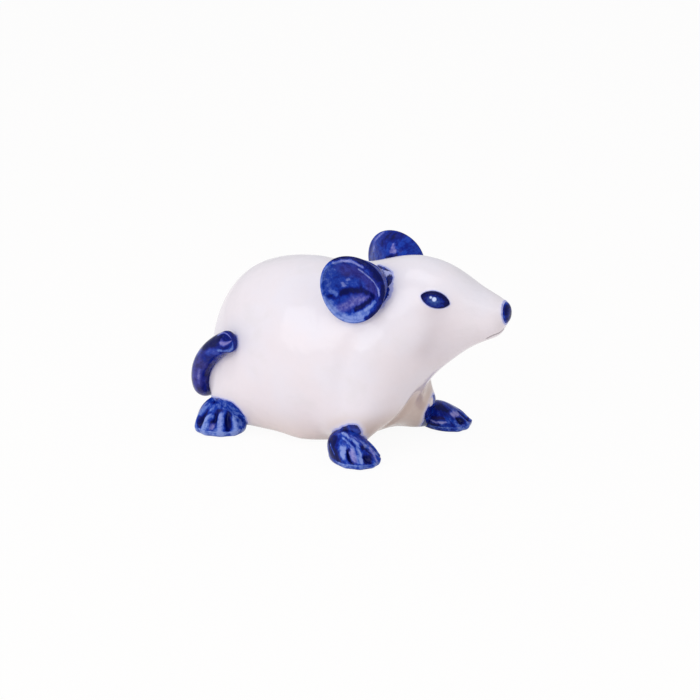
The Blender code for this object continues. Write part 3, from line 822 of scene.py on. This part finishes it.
def ear_profile():
    """Rows of shares of dish and edge, height and share of the root, from the hollow to the back."""
    rows = [(part, 0.0, -EAR_HOLLOW * (1 - part ** 2), 0.0) for part in (0.0, 0.3, 0.55, 0.75, 0.9)]
    for degrees in (0, 60, 120, 180):
        turn = math.radians(degrees)
        rows.append(((1 + math.cos(turn)) / 2, (1 - math.cos(turn)) / 2, EAR_LIP * math.sin(turn), 0.0))
    back = EAR_HOLLOW + EAR_ROOT
    for part in (0.92, 0.8, 0.65, 0.5, 0.3, 0.0):
        rows.append((0.0, part, -back * (1 - part ** 2), 1 - part ** 2))
    rows = np.array(rows)
    return spline(rows, np.linspace(0, len(rows) - 1, EAR_PROFILE_STEPS))


def clay_tree(name, sizes):
    """Geometry Nodes tree with a geometry in and out and one named input for each size."""
    tree = bpy.data.node_groups.new(name, "GeometryNodeTree")
    tree.interface.new_socket("Geometry", in_out="OUTPUT", socket_type="NodeSocketGeometry")
    tree.interface.new_socket("Geometry", in_out="INPUT", socket_type="NodeSocketGeometry")
    kinds = {float: "NodeSocketFloat", int: "NodeSocketInt", bpy.types.Material: "NodeSocketMaterial"}
    for label, size in sizes.items():
        tree.interface.new_socket(label, in_out="INPUT", socket_type=kinds[type(size)])
    return tree, add(tree, "NodeGroupInput").outputs


def finish_tree(tree, geometry, glaze):
    """End a tree in plain geometry with its glaze on."""
    plain = add(tree, "GeometryNodeRealizeInstances", {"Geometry": geometry}).outputs[0]
    glazed = add(tree, "GeometryNodeSetMaterial", {"Geometry": plain, "Material": glaze}).outputs[0]
    add(tree, "NodeGroupOutput", {"Geometry": glazed})


def shaped(name, source, tree, sizes):
    """The plain piece that a tree makes of its source with these sizes."""
    modifier = source.modifiers.new(tree.name, "NODES")
    modifier.node_group = tree
    for socket in tree.interface.items_tree:
        if socket.in_out == "INPUT" and socket.name in sizes:
            modifier[socket.identifier] = sizes[socket.name]
    graph = bpy.context.evaluated_depsgraph_get()
    mesh = bpy.data.meshes.new_from_object(source.evaluated_get(graph))
    source.modifiers.remove(modifier)
    bpy.data.objects.remove(source, do_unlink=True)
    mesh.name = name
    return placed(name, mesh)


def line_of(name, points):
    """Loose line of points, for a tree to work on."""
    mesh = bpy.data.meshes.new(name)
    mesh.from_pydata(points.tolist(), [(k, k + 1) for k in range(len(points) - 1)], [])
    return placed(name, mesh)


def noted(piece, name):
    """Values that a tree stored on the piece's points, taken off the piece."""
    kept = piece.data.attributes[name]
    values = np.zeros(len(piece.data.vertices))
    kept.data.foreach_get("value", values)
    piece.data.attributes.remove(kept)
    return values


def ear_tree(sizes):
    """Turn a profile, kept as shares of dish and edge and height, round the ear's two ovals."""
    tree, given = clay_tree("cupped_ear", sizes)
    position = add(tree, "GeometryNodeInputPosition").outputs[0]
    size = add(tree, "GeometryNodeAttributeDomainSize", {"Geometry": given["Geometry"]})
    steps = size.outputs["Point Count"]
    columns = sums(tree, "ADD", given["Points Around"], 1)
    sheet = add(tree, "GeometryNodeMeshGrid",
                {"Size X": 1.0, "Size Y": 1.0, "Vertices X": columns, "Vertices Y": steps})
    spot = add(tree, "ShaderNodeSeparateXYZ", {"Vector": position}).outputs
    angle = sums(tree, "MULTIPLY", sums(tree, "ADD", spot["X"], 0.5), math.tau)
    row = sums(tree, "MULTIPLY", sums(tree, "ADD", spot["Y"], 0.5), sums(tree, "SUBTRACT", steps, 1))
    row = sums(tree, "ROUND", row)
    sample = add(tree, "GeometryNodeSampleIndex",
                 {"Geometry": given["Geometry"], "Value": position, "Index": row}, data_type="FLOAT_VECTOR")
    profile = add(tree, "ShaderNodeSeparateXYZ", {"Vector": sample.outputs[0]}).outputs
    cosine = sums(tree, "COSINE", angle)
    wide = sums(tree, "MULTIPLY", sums(tree, "SINE", angle),
                sums(tree, "MULTIPLY_ADD", cosine, given["Widening"], 1.0))
    edge_long = sums(tree, "MULTIPLY", profile["Y"], given["Edge Long"])
    long_radius = sums(tree, "MULTIPLY_ADD", profile["X"], given["Dish Long"], edge_long)
    edge_short = sums(tree, "MULTIPLY", profile["Y"], given["Edge Short"])
    short_radius = sums(tree, "MULTIPLY_ADD", profile["X"], given["Dish Short"], edge_short)
    down = sums(tree, "SUBTRACT", sums(tree, "MULTIPLY", profile["X"], given["Dish Downward"]),
                sums(tree, "MULTIPLY", profile["Y"], given["Edge Crownward"]))
    place = add(tree, "ShaderNodeCombineXYZ", {
        "X": sums(tree, "MULTIPLY", long_radius, cosine),
        "Y": sums(tree, "MULTIPLY_ADD", short_radius, wide, down),
        "Z": profile["Z"]}).outputs[0]
    keep = add(tree, "GeometryNodeStoreNamedAttribute",
               {"Geometry": sheet.outputs["Mesh"], "Name": "step", "Value": row})
    moved = add(tree, "GeometryNodeSetPosition", {"Geometry": keep.outputs["Geometry"], "Position": place})
    sewn = add(tree, "GeometryNodeMergeByDistance",
               {"Geometry": moved.outputs["Geometry"], "Distance": 2 * SAME_POINT})
    finish_tree(tree, sewn.outputs["Geometry"], given["Glaze"])
    return tree


def ear_frame(side):
    """Middle of the rim, then the ways along its long and short axis and out of the dish, and ahead."""
    around = math.radians(EAR_AROUND if side > 0 else 180 - EAR_AROUND)
    seat = lofted(np.array([EAR_ALONG]), np.array([around]))
    spin = spin_matrix(turn_at(seat)[0])
    out = unit(np.array((EAR_FACES_AHEAD, side, 0)))
    long_way = np.array((math.cos(EAR_SLOPE), 0, -math.sin(EAR_SLOPE)))
    long_way = unit(long_way - out * long_way.dot(out))
    short_way = np.cross(out, long_way) * side
    back = LEFT_EAR_BACK if side > 0 else 0
    middle = turned(seat)[0] + spin @ np.array((-back, side * EAR_STAND_OFF, EAR_LIFT))
    return middle, np.array((long_way, short_way, out)) @ spin.T, spin[:, 0]


# Strokes on the face and on the back, on millimetres along the ear's long axis and away from the crown
# The lilac and palest strokes, such as the violet patch in the hollow and the lilac triangle on the back,
# are painted reflections
FACE_STROKES = (
    Stroke(((-5.2, -2.1), (-2.8, -4.0), (1.9, -4.6), (4.3, -3.6)), 2.1, 0.28, 0.65),
    Stroke(((-7.4, 1.0), (-6.0, 4.0), (-2.8, 6.0)), 1.3, -0.10),
    Stroke(((-2.6, 6.9), (-1.6, 4.4), (0.0, 1.7), (2.4, -0.9), (5.4, -2.6)), 0.88, 1.05),
    Stroke(((1.7, 6.3), (2.3, 4.2), (3.5, 1.6), (4.8, -0.4)), 1.35, -0.25, 0.8),
    Stroke(((-8.5, -1.0), (-8.3, 2.0), (-6.6, 5.4), (-3.4, 7.8)), 0.55, -0.45),
    Stroke(((-3.4, 7.8), (-0.6, 7.9), (2.4, 7.8), (5.2, 6.5), (7.0, 3.8), (7.6, 1.6)), 1.05, -0.85),
    Stroke(((6.1, 3.2), (6.8, -0.2), (6.7, -2.4)), 0.5, -0.85),
    Stroke(((4.6, 3.8), (5.2, 1.5), (5.5, -1.2)), 0.62, 1.2),
    Stroke(((-2.9, 2.0), (-2.3, 2.2)), 0.5, -0.7, 0.3),
    Stroke(((-2.7, 0.4), (-2.5, 0.0)), 0.4, -0.7, 0.3),
    Stroke(((-3.8, 5.2), (-1.8, 5.0)), 0.6, -0.6),
    Stroke(((-9.6, -3.0), (-6.8, -7.4), (0.0, -9.4), (6.0, -8.4), (9.4, -4.0)), 1.7, 1.0),
    Stroke(((8.5, 2.1), (9.0, -1.0), (8.5, -3.7)), 0.7, 0.9),
    Stroke(((-8.0, -1.8), (-6.8, -4.0)), 0.5, -0.6, 0.2),
    Stroke(((-7.1, -3.9), (-5.1, -6.0), (-2.0, -7.2)), 0.45, -0.9, 0.5),
    Stroke(((-2.4, -5.2), (-0.3, -5.6), (3.2, -6.4), (5.2, -6.1), (6.4, -5.2)), 0.36, -1.0, 0.4),
)
BACK_STROKES = (
    Stroke(((-6.0, -3.5), (-5.9, -5.3), (-3.8, -7.3)), 1.2, 0.65),
    Stroke(((-5.9, 1.4), (-8.2, -0.6), (-8.0, -3.7)), 0.4, -0.5, 0.6),
    Stroke(((-0.7, -3.2), (0.4, -5.8)), 0.7, 1.0),
    Stroke(((-2.7, -6.2), (-1.5, -5.3)), 0.40, -0.6, 0.9),
    Stroke(((-1.5, -5.1), (-0.7, -6.2)), 0.50, -0.6, 0.9),
    Stroke(((-1.9, -6.0), (-0.9, -6.0)), 0.50, -0.6, 0.9),
)

ear_glaze = cobalt_glaze("ear_cobalt_glaze", streaks=0.16, blotches=0.15)
ear_sizes = {"Dish Long": DISH_LONG_RADIUS, "Dish Short": DISH_SHORT_RADIUS, "Edge Long": EAR_LONG_RADIUS,
             "Edge Short": EAR_SHORT_RADIUS, "Widening": EAR_WIDENING, "Dish Downward": DISH_DOWNWARD,
             "Edge Crownward": EAR_CROWNWARD, "Points Around": EAR_POINTS, "Glaze": ear_glaze}
cupped_ear = ear_tree(ear_sizes)
profile_rows = ear_profile()
for name, side in (("left_ear", 1), ("right_ear", -1)):
    ear = shaped("rat_" + name, line_of("ear_profile", profile_rows[:, :3]), cupped_ear, ear_sizes)
    local = points_of(ear)
    step = noted(ear, "step")
    rooted = np.interp(step, np.arange(EAR_PROFILE_STEPS), profile_rows[:, 3])
    middle, ways, onward = ear_frame(side)
    root_step = EAR_ROOT_AHEAD * onward - EAR_ROOT_CROWNWARD * ways[1]
    places = middle + local @ ways + rooted[:, None] * root_step
    move_points(ear, places)

    flat = (places - middle) @ ways[:2].T * 1000
    behind = eased(step, OUTER_EDGE_STEP, OUTER_EDGE_STEP + EDGE_STEPS)
    face = brushed(flat, FACE_WASH, FACE_STROKES)
    rear = brushed(flat, BACK_WASH, BACK_STROKES)
    wash, violet = (front * (1 - behind) + back * behind for front, back in zip(face, rear))
    paint(ear, wash, violet, (0.30 * flat[:, 0], 0.30 * flat[:, 1] + 5 * side, 0 * step))
    face_outward(ear.data)
    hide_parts(name)
    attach(ear, "root")


# Tail
# The tail is a roll of clay a little thicker toward its blunt tip, bent round the rump and pressed on
# to the right flank with slip. A Geometry Nodes tree sweeps it along its path.

TAIL_ROOT_RADIUS = 0.0025
TAIL_TIP_RADIUS = 0.0031
TAIL_TIP_ROUND = 0.0018
TAIL_BED = 0.0005
TAIL_ROOT_SINK = 0.0030
TAIL_ROOT_SHARE = 0.25
TAIL_END_FLAT = 0.0005      # keeps a small flat at both ends, so that they don't shrink to a point
TAIL_WASH = 0.50
TAIL_PATH = ((0.6, 268), (0.95, 246), (1.25, 229), (1.43, 215), (1.48, 203), (1.58, 192), (1.8, 181),
             (2.08, 173), (2.33, 169))
TAIL_PATH_POINTS = 80
TAIL_RINGS = 320
TAIL_POINTS = 96


def tail_tree(sizes):
    """Sweep a round section along a curve, rounding off both ends and swelling toward the tip."""
    tree, given = clay_tree("rolled_tail", sizes)
    path = add(tree, "GeometryNodeMeshToCurve", {"Mesh": given["Geometry"]}).outputs["Curve"]
    path = add(tree, "GeometryNodeResampleCurve", {"Curve": path, "Count": given["Rings"]}).outputs["Curve"]
    spot = add(tree, "GeometryNodeSplineParameter").outputs
    total = add(tree, "GeometryNodeSplineLength").outputs["Length"]
    swell = sums(tree, "SUBTRACT", given["Tip Radius"], given["Root Radius"])
    thickness = sums(tree, "MULTIPLY_ADD", spot["Factor"], swell, given["Root Radius"])
    from_root = sums(tree, "DIVIDE", spot["Length"], given["Root Radius"])
    from_tip = sums(tree, "DIVIDE", sums(tree, "SUBTRACT", total, spot["Length"]), given["Tip Round"])
    to_end = sums(tree, "MINIMUM", sums(tree, "MINIMUM", from_root, from_tip), 1.0)
    short = sums(tree, "SUBTRACT", 1.0, to_end)
    squared = sums(tree, "MULTIPLY", short, short)
    rounding = sums(tree, "SQRT", sums(tree, "SUBTRACT", 1 + TAIL_END_FLAT, squared))
    radius = sums(tree, "MULTIPLY", thickness, rounding)
    keep = add(tree, "GeometryNodeStoreNamedAttribute",
               {"Geometry": path, "Name": "run", "Value": spot["Factor"]})
    section = add(tree, "GeometryNodeCurvePrimitiveCircle",
                  {"Resolution": given["Points Around"], "Radius": 1.0})
    swept = add(tree, "GeometryNodeCurveToMesh",
                {"Curve": keep.outputs["Geometry"], "Scale": radius,
                 "Profile Curve": section.outputs["Curve"], "Fill Caps": True})
    finish_tree(tree, swept.outputs["Mesh"], given["Glaze"])
    return tree


# Strokes on the tail, on millimetres along it from the root and round it from its outer side
# Its lilac and palest strokes are painted reflections of the softboxes
TAIL_STROKES = (
    Stroke(((12.0, -9.0), (24.0, -6.5), (30.6, -4.6)), 0.9, 0.8, 0.4),
    Stroke(((14.0, -4.0), (19.6, -3.6), (23.9, -2.8), (29.4, -2.0)), 2.1, 0.42, 0.85),
    Stroke(((26.9, -3.2), (21.4, -4.1)), 0.5, -0.35, 0.8),
    Stroke(((30.3, 0.9), (36.2, -1.4), (37.4, -3.0)), 1.2, 0.0, 0.3),
    Stroke(((34.0, 0.9), (38.7, 0.8), (40.6, 0.6)), 1.7, 1.3),
    Stroke(((39.0, -2.6), (41.4, -3.5), (42.4, -5.4)), 0.5, -0.6),
    Stroke(((41.4, -0.6), (42.6, -1.5)), 0.75, -0.7, 0.9),
    Stroke(((39.9, 2.1), (42.5, 3.0)), 0.35, -0.7, 0.7),
    Stroke(((39.0, 4.0), (42.0, 5.6)), 0.7, 1.1),
)

tail_glaze = cobalt_glaze("tail_cobalt_glaze", streaks=0.16, blotches=0.14, stroke_scale=1.6)
rows = np.array(TAIL_PATH, float)
part = np.linspace(0, 1, TAIL_PATH_POINTS)
spots = spline(rows, part * (len(rows) - 1))
turns = np.radians(spots[:, 1])
thickness = TAIL_ROOT_RADIUS + (TAIL_TIP_RADIUS - TAIL_ROOT_RADIUS) * part
lift = thickness - TAIL_BED - TAIL_ROOT_SINK * (1 - eased(part, 0, TAIL_ROOT_SHARE))
from_skin = outward(spots[:, 0], turns)
tail_line = skin(spots[:, 0], turns) + lift[:, None] * from_skin
tail_sizes = {"Root Radius": TAIL_ROOT_RADIUS, "Tip Radius": TAIL_TIP_RADIUS, "Tip Round": TAIL_TIP_ROUND,
              "Rings": TAIL_RINGS, "Points Around": TAIL_POINTS, "Glaze": tail_glaze}
tail = shaped("rat_tail", line_of("tail_path", tail_line), tail_tree(tail_sizes), tail_sizes)
places = points_of(tail)
run = noted(tail, "run")
length_so_far = np.concatenate(((0,), np.cumsum(np.linalg.norm(np.diff(tail_line, axis=0), axis=1))))
length_share = length_so_far / length_so_far[-1]
onward = unit(np.gradient(tail_line, axis=0))
centre, outer, ahead = (np.stack([np.interp(run, length_share, rows[:, k]) for k in range(3)], axis=-1)
                        for rows in (tail_line, from_skin, onward))
spoke = (places - centre) / TAIL_TIP_RADIUS
over = np.cross(outer, ahead)
turn = np.arctan2((spoke * over).sum(axis=1), (spoke * outer).sum(axis=1))
flat = np.stack((run * length_so_far[-1], turn * TAIL_TIP_RADIUS), axis=-1) * 1000
paint(tail, *brushed(flat, TAIL_WASH, TAIL_STROKES), (1.5 * np.cos(turn), 1.5 * np.sin(turn), 7 * run))
face_outward(tail.data)
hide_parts("tail")
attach(tail, "root")


# Eyes and nose
# Drops of slip set on the skin and painted: the eyes almond shaped, nearly black at the rim and paler in
# the middle, with two nearly white dots as painted highlights, and the nose a round button brushed over
# loosely.

Drop = namedtuple("Drop", "along around half_length half_height proud thickness tilt point")
EYE = Drop(along=8.5, around=22, half_length=0.0040, half_height=0.0022, proud=0.0012, thickness=0.0024,
           tilt=-14, point=0.35)
NOSE = Drop(along=11.95, around=90, half_length=0.0030, half_height=0.0032, proud=0.0008, thickness=0.0034,
            tilt=0, point=0)
NOSE_DROP = 0.0005
NOSE_WASH = 0.80
NOSE_EDGE_WASH = 0.10
BEAD_RINGS, BEAD_POINTS = 48, 120
EYE_BRUSH_SCALE = 2200
IRIS_LIGHT = (0.050, 0.100, 0.36)
IRIS_DARK = (0.018, 0.045, 0.24)
EYE_RIM = (0.0005, 0.001, 0.060)
# Painted highlights: two nearly white dots in each eye
EYE_GLINT = (0.58, 0.68, 0.97)
BIG_GLINT = (-0.05, -0.02)            # ahead and above, in half heights of the eye
SMALL_GLINT = (-0.52, 0.08)
SMALL_GLINT_LESS = 0.11               # how much smaller than the big one


def bead(name, drop):
    """Drop of slip on the skin, with its points' shares of its half length and half height."""
    around = math.radians(drop.around)
    tilt = math.radians(drop.tilt)
    out = outward(drop.along, around)
    seat = skin(drop.along, around) + (drop.proud - drop.thickness / 2) * out
    onward = unit(skin(drop.along + SAMPLE_STEP, around) - skin(drop.along - SAMPLE_STEP, around))
    upward = np.cross(out, onward)
    upward *= math.copysign(1, upward[2])
    onward, upward = (onward * math.cos(tilt) + upward * math.sin(tilt),
                      upward * math.cos(tilt) - onward * math.sin(tilt))
    angle = round_turn(BEAD_POINTS)[None, :]
    turn = (math.pi * np.arange(1, BEAD_RINGS) / BEAD_RINGS)[:, None]
    length = drop.half_length * np.cos(angle) * np.sin(turn)
    height = drop.half_height * np.sin(angle) * np.abs(np.sin(angle)) ** drop.point * np.sin(turn)
    depth = drop.thickness / 2 * np.cos(turn) + 0 * angle
    rings = seat + length[..., None] * onward + height[..., None] * upward + depth[..., None] * out
    end = drop.thickness / 2 * out
    made = closed_piece(name, rings, seat + end, seat - end)
    from_seat = points_of(made) - seat
    return made, from_seat @ onward / drop.half_length, from_seat @ upward / drop.half_height


eye_glaze, tree, shader = new_glaze("eye_cobalt_glaze")
place = add(tree, "ShaderNodeTexCoord").outputs["Object"]
brush = mottled(tree, place, EYE_BRUSH_SCALE)
from_middle = sums(tree, "MULTIPLY_ADD", brush, 0.30, read(tree, "ring"))
iris = ramp(tree, from_middle, (0.0, IRIS_LIGHT), (0.35, IRIS_DARK), (0.58, COBALT), (0.72, NAVY),
            (1.0, EYE_RIM))
# the dot is a painted highlight
dot = ranged(tree, read(tree, "dot"), 0.33, 0.18)
gloss = ranged(tree, brush, -0.5, 0.5, 0.05, 0.10)
fire(tree, shader, blend_colour(tree, dot, iris, EYE_GLINT), gloss, relief(tree, brush, 0.00003), 0.10)
wide = EYE.half_length / EYE.half_height
for name, around in (("left_eye", EYE.around), ("right_eye", 180 - EYE.around)):
    eye, ahead, above = bead("rat_" + name, EYE._replace(around=around))
    note(eye, "ring", np.hypot(ahead * 1.05, above * 0.92 + 0.22))
    flat = np.stack((ahead * wide, above), axis=-1)
    small_glint = spot_distance(flat, SMALL_GLINT) + SMALL_GLINT_LESS
    note(eye, "dot", np.minimum(spot_distance(flat, BIG_GLINT), small_glint))
    eye.data.materials.append(eye_glaze)
    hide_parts(name)
    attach(eye, "root")

nose_glaze = cobalt_glaze("nose_cobalt_glaze", streaks=0.3, blotches=0.25)
nose, ahead, above = bead("rat_nose", NOSE)
move_points(nose, points_of(nose) - np.array((0, 0, NOSE_DROP)))
wash = NOSE_WASH + (NOSE_EDGE_WASH - NOSE_WASH) * eased(np.hypot(ahead, above), 0.7, 1.0)
paint(nose, wash, 0 * ahead, (ahead * 1.2, above * 0.4, 0 * ahead))
nose.data.materials.append(nose_glaze)
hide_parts("nose")
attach(nose, "root")


# Slip collars and bleed
# Slip squeezed out of each joint is smoothed to a low collar on the body, and in the glaze firing the
# cobalt bleeds into the white around it. Both follow the distance from the body to the blue pieces.

COLLAR_HEIGHT = 0.00025
COLLAR_WIDTH = 0.0005

# Blue that the brush carried past its piece: round the hind legs, on the near and the far front leg, and
# round the dab, along two thin lines and down beside the root of the near ear
Cuff = namedtuple("Cuff", "path radius")
HIND_CUFF = Cuff(((-0.0290, -0.0188, 0.0068), (-0.0253, -0.0199, 0.0075), (-0.0217, -0.0202, 0.0076),
                  (-0.0206, -0.0199, 0.0066), (-0.0201, -0.0190, 0.0050), (-0.0208, -0.0175, 0.0030)),
                 0.0021)
CUFFS = (
    HIND_CUFF,
    HIND_CUFF._replace(path=tuple((x, -y, z) for x, y, z in HIND_CUFF.path)),
    Cuff(((0.0136, -0.0185, 0.0064), (0.0153, -0.0185, 0.0081), (0.0169, -0.0180, 0.0089),
          (0.0180, -0.0173, 0.0090), (0.0186, -0.0168, 0.0079)), 0.0010),
    Cuff(((0.0226, 0.0140, 0.0068), (0.0216, 0.0146, 0.0035)), 0.0036),
    Cuff(((0.0246, 0.0121, 0.0102), (0.0245, 0.0112, 0.0091), (0.0243, 0.0108, 0.0084),
          (0.0238, 0.0106, 0.0070), (0.0231, 0.0113, 0.0052), (0.0222, 0.0123, 0.0036)), 0.0014),
    Cuff(((0.0209, -0.0058, 0.0491), (0.0216, -0.0063, 0.0486), (0.0218, -0.0069, 0.0479),
          (0.0213, -0.0077, 0.0469)), 0.0009),
    Cuff(((0.0158, -0.0033, 0.0504), (0.0175, -0.0039, 0.0503), (0.0195, -0.0046, 0.0501),
          (0.0215, -0.0055, 0.0497)), 0.00030),
    Cuff(((0.0166, -0.0040, 0.0501), (0.0183, -0.0051, 0.0496), (0.0200, -0.0062, 0.0495)), 0.00030),
    Cuff(((0.0221, -0.0083, 0.0459), (0.0221, -0.0090, 0.0447), (0.0214, -0.0100, 0.0431)), 0.0008),
)
EAR_BLOTCHES = ((0.0223, -0.0074, 0.0472), (0.0227, -0.0080, 0.0461), (0.0227, -0.0089, 0.0448),
                (0.0219, -0.0097, 0.0435), (0.0214, -0.0104, 0.0421))
BLOTCH_RADIUS = 0.0009
BLOTCH_WASH = 0.00022       # a blotch is as blue as the bleed is this far from a painted edge
BEAD_BLEED = 2.2            # how much faster the bleed fades round the eyes and the nose
BLEED_END = 0.003           # nothing bleeds as far as this
COLLAR_RISE = 0.002         # collars are full from this height up, so that none lies under the foot


def gap_to(pieces, places):
    """Distance from each place to the nearest of these pieces."""
    points = []
    faces = []
    for piece in pieces:
        offset = len(points)
        points += [tuple(p) for p in points_of(piece)]
        faces += [[offset + i for i in face.vertices] for face in piece.data.polygons]
    nearest = BVHTree.FromPolygons(points, faces)
    return np.array([nearest.find_nearest(Vector(p))[3] for p in places])


places = points_of(body)
beads = [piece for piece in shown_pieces() if piece is nose or piece.name.endswith("_eye")]
clay = [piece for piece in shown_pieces() if piece is not body and piece not in beads]
to_bead = gap_to(beads, places)
to_clay = gap_to(clay, places)
to_joint = np.minimum(to_bead, to_clay)
lift = COLLAR_HEIGHT * fade(to_joint, COLLAR_WIDTH) * eased(places[:, 2], 0, COLLAR_RISE)
move_points(body, places + normals_of(body) * lift[:, None])
to_blue = np.minimum(to_bead * BEAD_BLEED, to_clay)
for cuff in CUFFS:
    to_blue = np.minimum(to_blue, line_distance(places, cuff.path) - cuff.radius)
to_blotch = line_distance(places, EAR_BLOTCHES) - BLOTCH_RADIUS
to_blue = np.minimum(to_blue, np.maximum(to_blotch, 0) + BLOTCH_WASH)
to_blue += (BLEED_END - to_blue) * bare
note(body, "to_blue", np.clip(to_blue * 1000, -0.4, 10))


# Studio
# A plain pale floor, three soft boxes and a pale room, with the camera where the photograph was
# taken from.

CAMERA_AZIMUTH = math.radians(35)
CAMERA_ELEVATION = math.radians(20)
CAMERA_DISTANCE = 0.560
AIM_RIGHT = 0.0038
AIM_UP = 0.02195
PIXELS_PER_RADIAN = 2000
PHOTO_PIXELS = 700
FLOOR_COLOUR = (0.93, 0.85, 0.81)
FLOOR_GLOW = 0.94           # share of plain white in the floor that the camera and reflections see
ROOM_COLOUR = (0.97, 0.98, 1.0)
ROOM_STRENGTH = 0.67
LAMPS_AIM = Vector((0, 0, 0.03))

floor_paint, tree, shader = new_glaze("studio_floor")
shader.inputs["Base Color"].default_value = (*FLOOR_COLOUR, 1)
shader.inputs["Roughness"].default_value = 0.9
rays = add(tree, "ShaderNodeLightPath").outputs
mirrored = sums(tree, "MAXIMUM", rays["Is Glossy Ray"], rays["Is Transmission Ray"])
seen = sums(tree, "MAXIMUM", rays["Is Camera Ray"], mirrored)
glow = add(tree, "ShaderNodeEmission", {"Color": (1, 1, 1), "Strength": 1.0}).outputs[0]
shown = sums(tree, "MULTIPLY", seen, FLOOR_GLOW)
mix = add(tree, "ShaderNodeMixShader", {"Fac": shown, 1: shader.outputs[0], 2: glow})
tree.links.new(mix.outputs[0], tree.nodes["Material Output"].inputs["Surface"])
bpy.ops.mesh.primitive_plane_add(size=8)
floor = bpy.context.object
floor.name = "studio_floor"
floor.data.materials.append(floor_paint)


def face_toward(thing, aim):
    thing.rotation_euler = (aim - thing.location).to_track_quat("-Z", "Y").to_euler()


def softbox(name, place, width, height, radiance):
    """Rectangular lamp whose face has the given radiance, where 1 is white."""
    lamp = bpy.data.lights.new(name, "AREA")
    lamp.shape = "RECTANGLE"
    lamp.size = width
    lamp.size_y = height
    lamp.energy = radiance * math.pi * width * height
    thing = placed(name, lamp)
    thing.location = place
    face_toward(thing, LAMPS_AIM)


softbox("key_softbox", (-0.087, -0.618, 0.318), width=0.56, height=0.44, radiance=1.78)
softbox("top_softbox", (-0.010, -0.193, 0.673), width=0.30, height=0.30, radiance=1.95)
softbox("right_softbox", (0.533, -0.143, 0.431), width=0.30, height=0.30, radiance=0.75)

world = bpy.data.worlds.new("pale_room")
world.use_nodes = True
bpy.context.scene.world = world
room = world.node_tree.nodes["Background"]
room.inputs["Color"].default_value = (*ROOM_COLOUR, 1)
room.inputs["Strength"].default_value = ROOM_STRENGTH

back = Vector((math.sin(CAMERA_AZIMUTH) * math.cos(CAMERA_ELEVATION),
               -math.cos(CAMERA_AZIMUTH) * math.cos(CAMERA_ELEVATION), math.sin(CAMERA_ELEVATION)))
right = Vector((math.cos(CAMERA_AZIMUTH), math.sin(CAMERA_AZIMUTH), 0))
up = back.cross(right)
aim = right * AIM_RIGHT + up * AIM_UP
camera_data = bpy.data.cameras.new("camera")
camera_data.lens = camera_data.sensor_width * PIXELS_PER_RADIAN / PHOTO_PIXELS
camera = placed("camera", camera_data)
camera.location = back * CAMERA_DISTANCE
face_toward(camera, aim)
bpy.context.scene.camera = camera
bpy.context.scene.view_settings.view_transform = "Standard"
